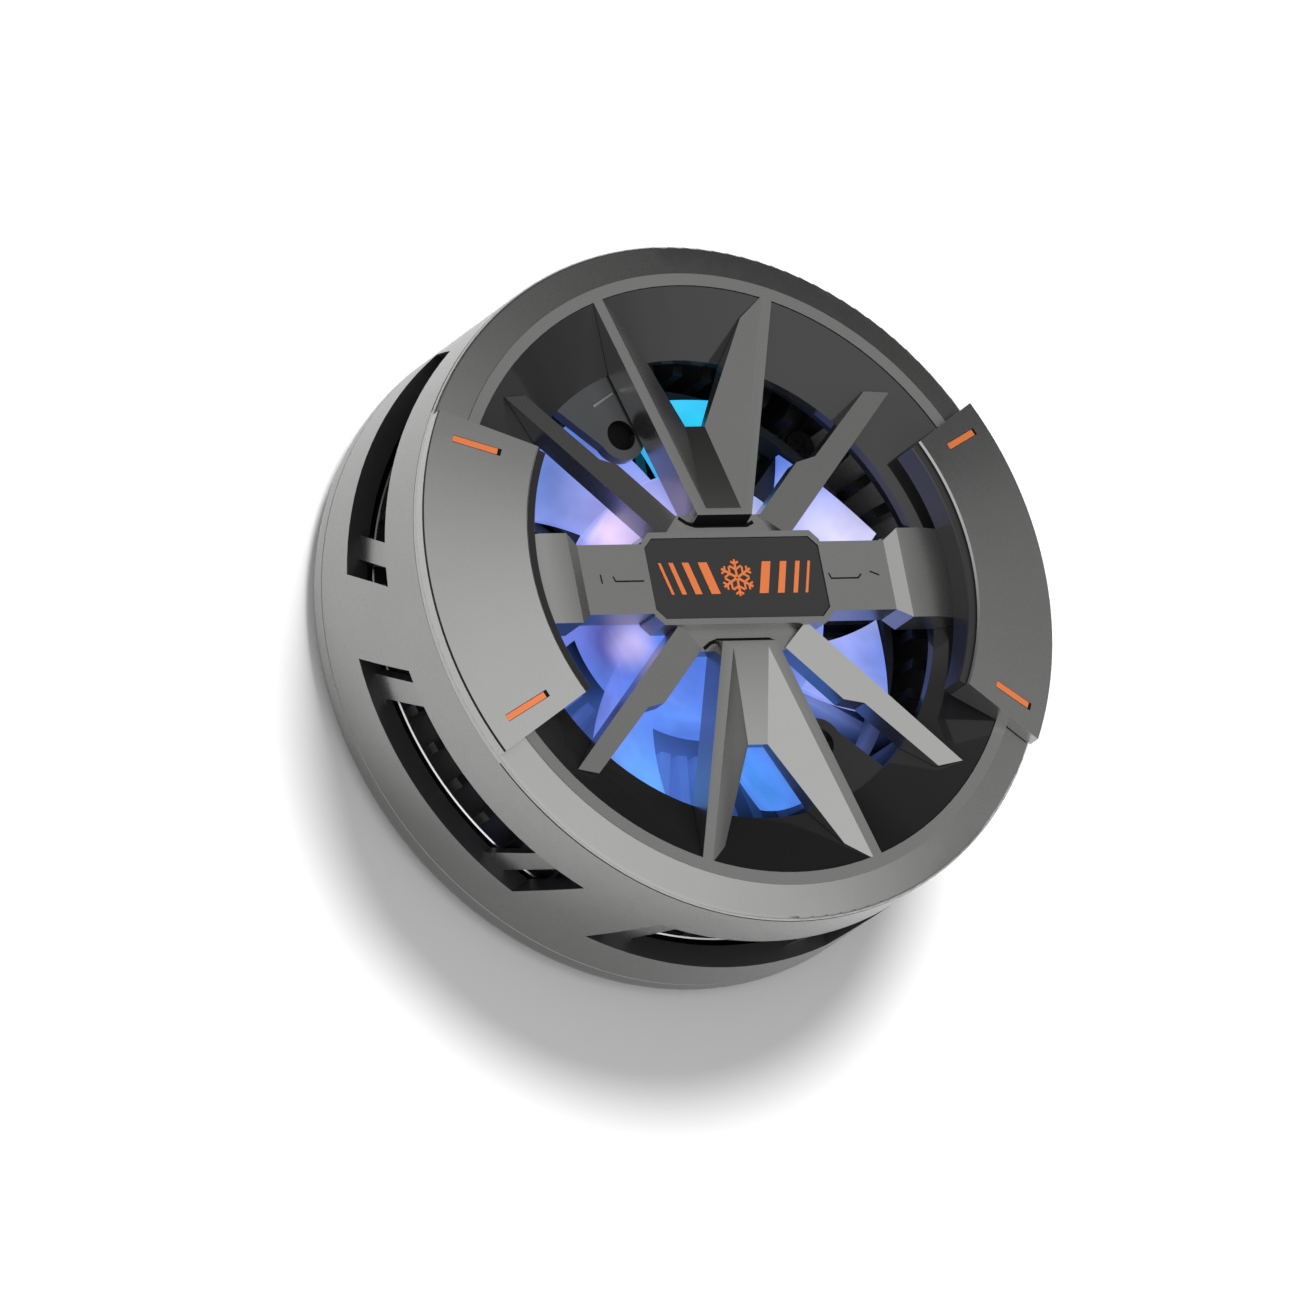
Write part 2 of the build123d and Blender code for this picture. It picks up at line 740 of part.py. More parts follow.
section_radii = (
    hub_radius - blade_root_overrun,
    (hub_radius + blade_tip_radius) / 2,
    blade_tip_radius + blade_tip_overrun,
)
with BuildPart() as blade:
    loft([blade_section(radius) for radius in section_radii])
with BuildPart() as blade_ring:
    with PolarLocations(0, blade_count):
        add(blade.part)
    with BuildSketch(Plane.XY.offset(blade_z)):
        Circle(blade_tip_radius)
        Circle(hub_radius - hub_wall / 2, mode=Mode.SUBTRACT)
    extrude(amount=blade_height, mode=Mode.INTERSECT)
with BuildPart() as impeller:
    with BuildSketch(Plane.XY.offset(blade_z)):
        Circle(hub_radius)
    extrude(amount=hub_top_z - blade_z)
    fillet(impeller.edges().group_by(Axis.Z)[-1], hub_edge_radius)
    with BuildSketch(Plane.XY.offset(blade_z)):
        Circle(hub_inner_radius)
    extrude(amount=hub_inner_z - blade_z, mode=Mode.SUBTRACT)
    with BuildSketch(Plane.XY.offset(hub_inner_z)):
        Circle(shaft_radius)
    extrude(amount=shaft_socket, mode=Mode.SUBTRACT)
    add(blade_ring.part)
save(impeller, "impeller")


# Housing shell: drum wall with slanting vents; two recessed bars cross each vent
def vent_cell(from_angle, to_angle, rounded=True):
    """Slanting four-sided sketch of one opening, as seen square on from outside."""
    low = -vent_height / 2
    high = vent_height / 2
    slant = vent_slant_angle / 2
    with BuildSketch(facing_plane(0, 0, vent_low_z + vent_height / 2)) as cell:
        outline(
            (body_radius * sin(radians(from_angle - slant)), low),
            (body_radius * sin(radians(to_angle - slant)), low),
            (body_radius * sin(radians(to_angle + slant)), high),
            (body_radius * sin(radians(from_angle + slant)), high),
        )
        if rounded:
            fillet(cell.vertices(), vent_corner_radius)
    return cell.sketch


bar_face_radius = body_radius - vent_bar_recess
with BuildPart() as vent_cutter:
    extrude(vent_cell(-vent_half_angle, vent_half_angle), amount=body_radius + cut_overrun)
    with BuildSketch(Plane.XY.offset(vent_low_z - cut_overrun)):
        Circle(bar_face_radius)
    extrude(amount=vent_height + cut_overrun * 2, mode=Mode.SUBTRACT)
    extrude(
        vent_cell(-vent_bar_inner_angle, vent_bar_inner_angle),
        amount=body_radius + cut_overrun,
    )
    for side in (-1, 1):
        ends = sorted((side * vent_bar_outer_angle, side * vent_half_angle))
        extrude(vent_cell(*ends, rounded=False), amount=body_radius + cut_overrun)

socket_z = board_top_z + socket_height / 2
socket_outer_radius = body_radius - socket_inset
with BuildPart() as housing_shell:
    with BuildSketch(Plane.XY.offset(cover_top_z)):
        Circle(body_radius)
        Circle(body_inner_radius, mode=Mode.SUBTRACT)
    extrude(amount=shell_top_z - cover_top_z)
    chamfer(housing_shell.edges().group_by(Axis.Z)[0].sort_by(SortBy.LENGTH)[-1], seam_chamfer)
    chamfer(housing_shell.edges().group_by(Axis.Z)[-1].sort_by(SortBy.LENGTH)[-1], seam_chamfer)
    with PolarLocations(0, vent_count, start_angle=vent_first_angle):
        add(vent_cutter.part, mode=Mode.SUBTRACT)
    with BuildSketch(facing_plane(socket_outer_radius, socket_angle, socket_z)):
        SlotOverall(
            socket_width + socket_opening_gap * 2,
            socket_height + socket_opening_gap * 2,
        )
    extrude(amount=body_wall, both=True, mode=Mode.SUBTRACT)
    # bosses: slim up to the heat sink's plate, with a shoulder that holds it down
    with BuildSketch(Plane.XY.offset(boss_floor_z)):
        with PolarLocations(boss_place_radius, boss_count):
            Circle(boss_radius)
    extrude(amount=board_z - boss_floor_z)
    with BuildSketch(Plane.XY.offset(sink_top_z)):
        with PolarLocations(boss_place_radius, boss_count):
            Circle(boss_shoulder_radius)
    extrude(amount=board_z - sink_top_z)
    with BuildSketch(Plane.XY.offset(boss_floor_z)):
        with PolarLocations(boss_place_radius, boss_count):
            Circle(screw_radius + screw_gap)
    extrude(amount=screw_length, mode=Mode.SUBTRACT)
save(housing_shell, "housing_shell")

# Control board: ring above the fins, with the lights on its inner edge
with BuildPart() as control_board:
    with BuildSketch(Plane.XY.offset(board_z)):
        Circle(board_outer_radius)
        Circle(board_inner_radius, mode=Mode.SUBTRACT)
    extrude(amount=board_thickness)
save(control_board, "control_board")

with BuildPart() as light_chips:
    with BuildSketch(Plane.XY.offset(board_top_z)):
        with PolarLocations(led_place_radius, led_count, start_angle=led_first_angle):
            Rectangle(led_depth, led_length)
    extrude(amount=led_height)
save(light_chips, "light_chips")

# Power socket: USB-C shell and tongue, mouth outwards between two vents
socket_inner_radius = socket_outer_radius - socket_depth
with BuildPart() as usb_socket:
    with BuildSketch(facing_plane(socket_inner_radius, socket_angle, socket_z)):
        SlotOverall(socket_width, socket_height)
    extrude(amount=socket_depth)
    with BuildSketch(facing_plane(socket_inner_radius + socket_back_wall, socket_angle, socket_z)):
        SlotOverall(socket_width - socket_wall * 2, socket_height - socket_wall * 2)
    extrude(amount=socket_depth, mode=Mode.SUBTRACT)
save(usb_socket, "usb_socket")

with BuildPart() as usb_tongue:
    with BuildSketch(facing_plane(socket_inner_radius + socket_back_wall, socket_angle, socket_z)):
        Rectangle(tongue_width, tongue_thickness)
    extrude(amount=tongue_length)
save(usb_tongue, "usb_tongue")

# Air guide: funnel under the rim, with posts down to the board and two screw ears
guide_under_z = rim_z - guide_drop - guide_lip
guide_knee_radius = guide_inner_radius + (guide_flange_z - guide_under_z) / guide_slope
with BuildPart() as air_guide:
    with BuildSketch(radial_plane(0)):
        outline(
            (guide_outer_radius, rim_z - guide_top_drop),
            (guide_inner_radius, rim_z - guide_drop),
            (guide_inner_radius, guide_under_z),
            (guide_knee_radius, guide_flange_z),
            (guide_flange_radius, guide_flange_z),
            (guide_flange_radius, shell_top_z),
            (guide_outer_radius, shell_top_z),
        )
    revolve(axis=Axis.Z)
    with BuildSketch(Plane.XY.offset(board_top_z)):
        with PolarLocations(post_place_radius, boss_count):
            Circle(post_radius)
    extrude(amount=guide_flange_z + guide_flange / 2 - board_top_z)
    for turn in (0, half_turn):
        ear_plane = Plane.XY.offset(rim_z - ear_drop).rotated((0, 0, ear_angle + turn))
        with BuildSketch(ear_plane):
            with BuildLine():
                tip = CenterArc((ear_hole_place_radius, 0), ear_end_radius, half_turn / 2, half_turn)
                Polyline(
                    tip @ 0,
                    (guide_inner_radius + guide_lip / 2, ear_root_half_width),
                    (guide_inner_radius + guide_lip / 2, -ear_root_half_width),
                    tip @ 1,
                )
            make_face()
        extrude(amount=-ear_thickness)
        with BuildSketch(ear_plane):
            with Locations((ear_hole_place_radius, 0)):
                Circle(ear_hole_radius)
        extrude(amount=-ear_thickness + ear_skin, mode=Mode.SUBTRACT)
    # room for the power socket under the funnel
    with BuildSketch(facing_plane(socket_inner_radius - drop_in_gap, socket_angle, socket_z)):
        SlotOverall(socket_width + spigot_gap * 2, socket_height + spigot_gap * 2)
    extrude(amount=socket_depth, mode=Mode.SUBTRACT)
save(air_guide, "air_guide")

# Front cover: a quarter of the spokes is drawn and mirrored twice
spoke_z = rim_z - spoke_depth
rib_radius = rim_inner_radius + rib_embed
rib_outer_tip = polar_point(rib_radius, rib_outer_angle)
rib_inner_tip = polar_point(rib_radius, rib_inner_angle)
rib_inner_root = (rib_root_half_width - rib_strip, rib_root_y + rib_bar)
inner_run = (rib_inner_tip[0] - rib_inner_root[0], rib_inner_tip[1] - rib_inner_root[1])
inner_length = hypot(*inner_run)
facet_normal = (
    -inner_run[1] / inner_length * rib_facet_slope,
    inner_run[0] / inner_length * rib_facet_slope,
    1,
)
rib_corner_x = rib_inner_root[0] + inner_run[0] * rib_corner_share - rib_corner_inset
rib_corner_y = rib_inner_root[1] + inner_run[1] * rib_corner_share
# where web and facet meet: level with the web's end, in from the inner line
rib_web_end_y = rib_inner_root[1] + inner_run[1] * rib_web_share
web_fall = rib_web_slope * (rib_web_end_y - rib_inner_root[1])
inner_line_x = rib_inner_root[0] + inner_run[0] * rib_web_share
web_end_x = inner_line_x - web_fall / rib_facet_slope * inner_length / inner_run[1]

with BuildPart() as rib_hollow:
    with BuildSketch(Plane.XY.offset(spoke_z)):
        outline(
            (-cut_overrun, rib_inner_root[1]),
            rib_inner_root,
            rib_inner_tip,
            (-cut_overrun, rib_inner_tip[1]),
        )
    extrude(amount=spoke_depth + cut_overrun)
    split(
        bisect_by=Plane(
            origin=(0, rib_inner_root[1], rim_z), x_dir=(1, 0, 0), z_dir=(0, rib_web_slope, 1)
        ),
        keep=Keep.TOP,
    )
    split(
        bisect_by=Plane(origin=(*rib_inner_root, rim_z), z_dir=facet_normal),
        keep=Keep.TOP,
    )

with BuildPart() as half_rib:
    with BuildSketch(Plane.XY.offset(spoke_z)):
        outline(
            (0, rib_root_y),
            (rib_root_half_width, rib_root_y),
            rib_outer_tip,
            rib_inner_tip,
            (rib_corner_x, rib_corner_y),
            (web_end_x, rib_web_end_y),
            (0, rib_web_end_y),
        )
    extrude(amount=spoke_depth)
    add(rib_hollow.part, mode=Mode.SUBTRACT)
    with BuildSketch(Plane.YZ):
        outline(
            (rib_root_y, rim_z),
            (rib_root_y - rib_apex_foot, rim_z - hub_plate_drop),
            (rib_root_y, rim_z - hub_plate_drop),
        )
    extrude(amount=rib_root_half_width)

arm_root = badge_half_length - badge_corner
arm_foot = sqrt(wing_inner_radius**2 - arm_wide_half_width**2)
with BuildPart() as half_arm:
    with BuildSketch(Plane.XY.offset(spoke_z)):
        outline(
            (arm_root, 0),
            (arm_root, arm_half_width),
            (arm_ramp_start, arm_half_width),
            (arm_ramp_end, arm_wide_half_width),
            (rib_radius, arm_wide_half_width),
            (rib_radius, 0),
        )
    extrude(amount=spoke_depth + arm_rise)
    with BuildSketch(Plane.XZ):
        outline(
            (arm_root, spoke_z),
            (arm_root, rim_z),
            (arm_ramp_start, rim_z),
            (arm_ramp_end, rim_z + arm_rise),
            (arm_flat_end, rim_z + arm_rise),
            (arm_foot - arm_foot_gap, rim_z - touch_gap),
            (rib_radius, rim_z - touch_gap),
            (rib_radius, spoke_z),
        )
    extrude(amount=-arm_wide_half_width, mode=Mode.INTERSECT)

slant_plane = Plane.XY.rotated((0, 0, 45))
with BuildPart() as slant_arm:
    with BuildSketch(slant_plane.offset(spoke_z)):
        outline(
            (slant_start, -slant_near_side),
            (slant_near_end, -slant_near_side),
            (slant_far_end, slant_far_side_end),
            (slant_step_end, slant_far_side_narrow),
            (slant_step_start, slant_far_side),
            (slant_start, slant_far_side),
        )
    extrude(amount=spoke_depth)
    near_edge = slant_plane.from_local_coords((0, -slant_near_side, rim_z - slant_face_drop))
    split(
        bisect_by=Plane(
            origin=near_edge,
            x_dir=slant_plane.x_dir,
            z_dir=slant_plane.y_dir * sin(radians(slant_tilt)) + Vector(0, 0, cos(radians(slant_tilt))),
        ),
        keep=Keep.BOTTOM,
    )

with BuildPart() as spokes:
    add(half_rib.part)
    add(half_arm.part)
    add(slant_arm.part)
    with BuildSketch(Plane.XY.offset(spoke_z)):
        outline(
            (0, 0),
            (hub_plate_half_root, 0),
            (hub_plate_half_root, badge_half_height),
            (hub_plate_half_tip, hub_plate_tip),
            (0, hub_plate_tip),
        )
    extrude(amount=spoke_depth - hub_plate_drop)
    # the funnel passes under the spokes' outer ends
    with BuildSketch(radial_plane(0)):
        outline(
            (guide_inner_radius - touch_gap, rim_z - guide_drop + touch_gap),
            (guide_outer_radius, rim_z - guide_top_drop + touch_gap),
            (body_radius, rim_z - guide_top_drop + touch_gap),
            (body_radius, spoke_z - cut_overrun),
            (guide_inner_radius - touch_gap, spoke_z - cut_overrun),
        )
    revolve(axis=Axis.Z, mode=Mode.SUBTRACT)
    mirror(about=Plane.YZ)
    mirror(about=Plane.XZ)

with BuildPart() as front_cover:
    with BuildSketch(radial_plane(0)) as cover_profile:
        outline(
            (rim_inner_radius, rim_z),
            (rim_outer_radius, rim_z),
            (rim_outer_radius, rim_z - rim_step),
            (body_radius, rim_z - bevel_drop),
            (body_radius, shell_top_z),
            (spigot_outer_radius, shell_top_z),
            (spigot_outer_radius, shell_top_z - spigot_depth),
            (spigot_inner_radius, shell_top_z - spigot_depth),
            (spigot_inner_radius, shell_top_z),
            (rim_inner_radius, shell_top_z),
        )
        fillet(cover_profile.vertices().group_by(Axis.X)[-1].sort_by(Axis.Y)[-1], bevel_edge_radius)
    revolve(axis=Axis.Z)
    add(spokes.part)
    with BuildSketch(Plane.XY.offset(spoke_z)) as badge_frame:
        Rectangle(badge_half_length * 2, badge_half_height * 2)
        chamfer(badge_frame.vertices(), badge_corner)
    extrude(amount=spoke_depth)
    with BuildSketch(Plane.XY.offset(rim_z - badge_pocket_depth)) as badge_pocket:
        Rectangle(badge_pocket_half_length * 2, badge_pocket_half_height * 2)
        chamfer(badge_pocket.vertices(), badge_corner)
    extrude(amount=badge_pocket_depth, mode=Mode.SUBTRACT)
save(front_cover, "front_cover")

# Badge plate: inset panel in the badge frame's pocket
plate_z = rim_z - badge_pocket_depth
with BuildPart() as badge_plate:
    with BuildSketch(Plane.XY.offset(plate_z)) as badge_face:
        Rectangle(
            (badge_pocket_half_length - touch_gap) * 2,
            (badge_pocket_half_height - touch_gap) * 2,
        )
        chamfer(badge_face.vertices(), badge_corner)
    extrude(amount=badge_pocket_depth - badge_plate_recess)
save(badge_plate, "badge_plate")

# Wings: raised shields over the rim; their slots hold the accent inserts
wing_fall = (wing_inner_height - wing_outer_height) / (wing_outer_radius - wing_inner_radius)
wing_seat_radius = rim_outer_radius + wing_bevel_gap


def slot_sketch(side, gap=0, end_gap=0):
    """Two radial bars in the wing on this side, narrower and shorter by the gaps."""
    with BuildSketch(Plane.XY.offset(rim_z + slot_floor_height)) as slots:
        for lean in (-slot_angle, slot_angle):
            angle = lean + (0 if side > 0 else half_turn)
            middle = slot_inner_radius + (slot_length - end_gap * side) / 2
            with Locations(Location((*polar_point(middle, angle), 0), (0, 0, angle))):
                Rectangle(slot_length - end_gap - gap * 2, slot_width - gap * 2)
    return slots.sketch


def build_wing(side):
    """Shield on the right (side 1) or on the left (side -1)."""
    start = -wing_half_angle + (0 if side > 0 else half_turn)
    with BuildPart() as wing:
        with BuildSketch(radial_plane(start)):
            outline(
                (wing_inner_radius, rim_z),
                (wing_inner_radius, rim_z + wing_inner_height - wing_edge_chamfer),
                (
                    wing_inner_radius + wing_edge_chamfer,
                    rim_z + wing_inner_height - wing_edge_chamfer * wing_fall,
                ),
                (wing_outer_radius, rim_z + wing_outer_height),
                (wing_outer_radius, rim_z - bevel_drop + wing_bevel_gap),
                (wing_seat_radius, rim_z - rim_step + wing_bevel_gap),
                (wing_seat_radius, rim_z),
            )
        revolve(axis=Axis.Z, revolution_arc=wing_half_angle * 2)
        extrude(slot_sketch(side), amount=wing_inner_height, mode=Mode.SUBTRACT)
    return wing


right_wing = build_wing(1)
save(right_wing, "right_wing")
left_wing = build_wing(-1)
save(left_wing, "left_wing")

with BuildPart() as accent_inserts:
    for side in (1, -1):
        extrude(slot_sketch(side, accent_gap, accent_end_gap), amount=wing_inner_height)
    with BuildSketch(radial_plane(0)):
        outline(
            (wing_inner_radius, rim_z),
            (wing_inner_radius, rim_z + wing_inner_height - accent_recess),
            (wing_outer_radius, rim_z + wing_outer_height - accent_recess),
            (wing_outer_radius, rim_z),
        )
    revolve(axis=Axis.Z, mode=Mode.INTERSECT)
save(accent_inserts, "accent_inserts")
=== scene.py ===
import bmesh
import bpy
import numpy as np
from mathutils import Matrix, Vector


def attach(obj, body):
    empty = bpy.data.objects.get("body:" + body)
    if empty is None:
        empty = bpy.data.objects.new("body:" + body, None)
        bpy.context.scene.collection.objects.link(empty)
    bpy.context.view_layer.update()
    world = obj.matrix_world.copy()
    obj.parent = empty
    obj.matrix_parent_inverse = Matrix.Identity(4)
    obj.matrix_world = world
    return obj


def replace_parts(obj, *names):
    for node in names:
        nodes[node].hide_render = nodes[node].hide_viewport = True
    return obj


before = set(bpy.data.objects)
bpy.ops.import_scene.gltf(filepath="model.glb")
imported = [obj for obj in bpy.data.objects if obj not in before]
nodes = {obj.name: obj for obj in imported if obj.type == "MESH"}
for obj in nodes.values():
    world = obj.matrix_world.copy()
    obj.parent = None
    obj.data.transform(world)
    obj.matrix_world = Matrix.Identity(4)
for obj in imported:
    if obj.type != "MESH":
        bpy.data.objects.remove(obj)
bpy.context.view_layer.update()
scene = bpy.context.scene
mm = 0.001
rimZ = 23.5  # plane of the rim, the ribs and the badge frame, in mm
print("frame loaded")

# camera and light
camera = dict(
    right=(0.8576, -0.1858, 0.4796),
    up=(0.0166, 0.942, 0.3352),
    back=(-0.5141, -0.2795, 0.8109),
    centre=(-7.179, -4.943, 17.246),  # mm, the middle of the picture
    pictureWidth=123.39,  # mm across at the object
    lens=600,
    sensor=36,
)
lamps = dict(
    floorSun=dict(
        kind="SUN", lights="floor", direction=(0.13, 0.48, 0.87), distance=0.6, angle=0.36, power=5.6,
    ),
    right=dict(
        kind="AREA", lights="all", direction=(0.9, 0.15, 0.4), distance=0.6, size=(0.3, 0.3), power=0.07,
    ),
)
lampAim = (0, 0, 0.012)  # the object's middle
studio = dict(
    lean=(-0.2, -0.45, 0.86),  # towards the palest part of the ceiling
    # share of the way to it, and how bright it is there
    levels=[(0.0, 0.03), (0.07, 0.13), (0.3, 0.21), (0.47, 0.42), (0.6, 0.8), (0.72, 1.12), (0.9, 1.3)],
    horizon=(0.04, 0.1),  # the white background fades out between these heights
    below=0.5,  # plain light from under the floor, for the back
    belowFrom=-0.01,
)
floorValues = dict(
    radius=6.0,
    opening=0.03,  # under the pad, hidden by the object
    level=-0.00005,
    sides=96,
    colour=0.48,
    rough=0.9,
    gloss=0.1,
    lift=0.08,  # added for the rays that see the background
)


def linkObject(name, data):
    thing = bpy.data.objects.new(name, data)
    scene.collection.objects.link(thing)
    return thing


def makeCamera(v):
    data = bpy.data.cameras.new("viewCamera")
    data.lens = v["lens"]
    data.sensor_width = v["sensor"]
    cam = linkObject("viewCamera", data)
    distance = v["pictureWidth"] * mm * v["lens"] / v["sensor"]
    turn = Matrix((v["right"], v["up"], v["back"])).transposed()
    place = Vector(v["centre"]) * mm + Vector(v["back"]) * distance
    cam.matrix_world = Matrix.Translation(place) @ turn.to_4x4()
    data.clip_start = distance * 0.2
    data.clip_end = distance * 10
    scene.camera = cam


def makeLamp(name, v):
    data = bpy.data.lights.new(name, v["kind"])
    data.energy = v["power"]
    if v["kind"] == "SUN":
        data.angle = v["angle"]
    else:
        data.shape = "RECTANGLE"
        data.size, data.size_y = v["size"]
    lamp = linkObject(name, data)
    way = Vector(v["direction"]).normalized()
    lamp.location = Vector(lampAim) + way * v["distance"]
    lamp.rotation_mode = "QUATERNION"
    lamp.rotation_quaternion = (-way).to_track_quat("-Z", "Y")
    lamp.visible_camera = False
    if v["lights"] == "floor":
        lit = bpy.data.collections.new(name + "Lights")
        lit.objects.link(bpy.data.objects["floor"])
        lamp.light_linking.receiver_collection = lit


def connect(tree, start, end):
    tree.links.new(start, end)


def seenRays(tree):
    # 1 for rays from the camera, from gloss and through glass
    path = tree.nodes.new("ShaderNodeLightPath")
    last = path.outputs["Is Camera Ray"]
    for ray in ("Is Glossy Ray", "Is Transmission Ray"):
        either = tree.nodes.new("ShaderNodeMath")
        either.operation = "MAXIMUM"
        connect(tree, last, either.inputs[0])
        connect(tree, path.outputs[ray], either.inputs[1])
        last = either.outputs["Value"]
    return last


def makeStudio(v):
    world = bpy.data.worlds.new("studio")
    scene.world = world
    world.use_nodes = True
    tree = world.node_tree
    coord = tree.nodes.new("ShaderNodeTexCoord")
    lean = tree.nodes.new("ShaderNodeVectorMath")
    lean.operation = "DOT_PRODUCT"
    lean.inputs[1].default_value = v["lean"]
    connect(tree, coord.outputs["Generated"], lean.inputs[0])
    ramp = tree.nodes.new("ShaderNodeValToRGB")
    connect(tree, lean.outputs["Value"], ramp.inputs["Fac"])
    for place, level in v["levels"][1:-1]:  # the two ends are there already
        ramp.color_ramp.elements.new(place)
    for element, (place, level) in zip(ramp.color_ramp.elements, v["levels"]):
        element.position = place
        element.color = (level, level, level, 1)
    split = tree.nodes.new("ShaderNodeSeparateXYZ")
    connect(tree, coord.outputs["Generated"], split.inputs[0])
    rise = tree.nodes.new("ShaderNodeMapRange")  # 1 at the horizon, 0 above it
    rise.inputs["From Min"].default_value = v["horizon"][0]
    rise.inputs["From Max"].default_value = v["horizon"][1]
    rise.inputs["To Min"].default_value = 1
    rise.inputs["To Max"].default_value = 0
    connect(tree, split.outputs["Z"], rise.inputs["Value"])
    seen = tree.nodes.new("ShaderNodeMath")
    seen.operation = "MULTIPLY"
    connect(tree, seenRays(tree), seen.inputs[0])
    connect(tree, rise.outputs["Result"], seen.inputs[1])
    mix = tree.nodes.new("ShaderNodeMix")
    mix.data_type = "RGBA"
    connect(tree, seen.outputs["Value"], mix.inputs["Factor"])
    mix.inputs["B"].default_value = (1, 1, 1, 1)
    under = tree.nodes.new("ShaderNodeMath")
    under.operation = "LESS_THAN"
    under.inputs[1].default_value = v["belowFrom"]
    connect(tree, split.outputs["Z"], under.inputs[0])
    lower = tree.nodes.new("ShaderNodeMix")
    lower.data_type = "RGBA"
    connect(tree, under.outputs["Value"], lower.inputs["Factor"])
    connect(tree, ramp.outputs["Color"], lower.inputs["A"])
    lower.inputs["B"].default_value = (v["below"],) * 3 + (1,)
    connect(tree, lower.outputs["Result"], mix.inputs["A"])
    connect(tree, mix.outputs["Result"], tree.nodes["Background"].inputs["Color"])


def makeFloor(v):
    # a flat ring: outer and inner points at every angle; the object stands over its opening
    turn = np.linspace(0, 2 * np.pi, v["sides"], endpoint=False)
    way = np.column_stack((np.cos(turn), np.sin(turn)))
    points = np.vstack([way * v["radius"], way * v["opening"]])
    points = np.column_stack((points, np.full(len(points), v["level"])))
    here = np.arange(v["sides"])
    after = (here + 1) % v["sides"]
    faces = np.column_stack((here, after, after + v["sides"], here + v["sides"]))
    mesh = bpy.data.meshes.new("floor")
    mesh.from_pydata(points.tolist(), [], faces.tolist())
    mat = bpy.data.materials.new("paleFloor")
    mat.use_nodes = True
    tree = mat.node_tree
    paint = tree.nodes["Principled BSDF"]
    paint.inputs["Base Color"].default_value = (v["colour"],) * 3 + (1,)
    paint.inputs["Roughness"].default_value = v["rough"]
    paint.inputs["Specular IOR Level"].default_value = v["gloss"]
    paint.inputs["Emission Color"].default_value = (1, 1, 1, 1)
    lift = tree.nodes.new("ShaderNodeMath")
    lift.operation = "MULTIPLY"
    connect(tree, seenRays(tree), lift.inputs[0])
    lift.inputs[1].default_value = v["lift"]
    connect(tree, lift.outputs["Value"], paint.inputs["Emission Strength"])
    side = tree.nodes.new("ShaderNodeNewGeometry")  # clear from below, so that the back can be seen
    clear = tree.nodes.new("ShaderNodeBsdfTransparent")
    either = tree.nodes.new("ShaderNodeMixShader")
    connect(tree, side.outputs["Backfacing"], either.inputs["Fac"])
    connect(tree, paint.outputs["BSDF"], either.inputs[1])
    connect(tree, clear.outputs["BSDF"], either.inputs[2])
    connect(tree, either.outputs["Shader"], tree.nodes["Material Output"].inputs["Surface"])
    mesh.materials.append(mat)
    linkObject("floor", mesh)


makeCamera(camera)
makeStudio(studio)
makeFloor(floorValues)
for lampName, lampValues in lamps.items():
    makeLamp(lampName, lampValues)
scene.view_settings.view_transform = "Standard"
print("camera and light ready")


# effects that several finishes share
def newGroup(name, inputs, outputs):
    group = bpy.data.node_groups.new(name, "ShaderNodeTree")
    for label, kind, value in inputs:
        socket = group.interface.new_socket(label, in_out="INPUT", socket_type=kind)
        if value is not None:
            socket.default_value = value
    for label, kind in outputs:
        group.interface.new_socket(label, in_out="OUTPUT", socket_type=kind)
    start = group.nodes.new("NodeGroupInput")
    end = group.nodes.new("NodeGroupOutput")
    return group, start, end


def makeGrainGroup():
    # fine speckle of a moulded or painted surface, and slow clouds of wear over it
    group, start, end = newGroup(
        "surfaceGrain",
        [
            ("Vector", "NodeSocketVector", None),
            ("Grain Size", "NodeSocketFloat", 0.2),
            ("Cloud Size", "NodeSocketFloat", 8.0),
        ],
        [("Grain", "NodeSocketFloat"), ("Clouds", "NodeSocketFloat")],
    )
    for label, detail, output in (("Grain Size", 2.0, "Grain"), ("Cloud Size", 3.0, "Clouds")):
        scale = group.nodes.new("ShaderNodeMath")
        scale.operation = "DIVIDE"
        scale.inputs[0].default_value = 1 / mm
        connect(group, start.outputs[label], scale.inputs[1])
        noise = group.nodes.new("ShaderNodeTexNoise")
        noise.inputs["Detail"].default_value = detail
        connect(group, start.outputs["Vector"], noise.inputs["Vector"])
        connect(group, scale.outputs["Value"], noise.inputs["Scale"])
        connect(group, noise.outputs["Fac"], end.inputs[output])
    return group


def makeTurnedGroup():
    # fine rings left by turning: noise of the distance from the Z axis
    group, start, end = newGroup(
        "turnedRings",
        [("Vector", "NodeSocketVector", None), ("Ring Width", "NodeSocketFloat", 0.1)],
        [("Rings", "NodeSocketFloat")],
    )
    flat = group.nodes.new("ShaderNodeVectorMath")
    flat.operation = "MULTIPLY"
    flat.inputs[1].default_value = (1, 1, 0)
    connect(group, start.outputs["Vector"], flat.inputs[0])
    far = group.nodes.new("ShaderNodeVectorMath")
    far.operation = "LENGTH"
    connect(group, flat.outputs["Vector"], far.inputs[0])
    scale = group.nodes.new("ShaderNodeMath")
    scale.operation = "DIVIDE"
    scale.inputs[0].default_value = 1 / mm
    connect(group, start.outputs["Ring Width"], scale.inputs[1])
    times = group.nodes.new("ShaderNodeMath")
    times.operation = "MULTIPLY"
    connect(group, far.outputs["Value"], times.inputs[0])
    connect(group, scale.outputs["Value"], times.inputs[1])
    noise = group.nodes.new("ShaderNodeTexNoise")
    noise.noise_dimensions = "1D"
    noise.inputs["Scale"].default_value = 1
    noise.inputs["Detail"].default_value = 3
    connect(group, times.outputs["Value"], noise.inputs["W"])
    connect(group, noise.outputs["Fac"], end.inputs["Rings"])
    return group


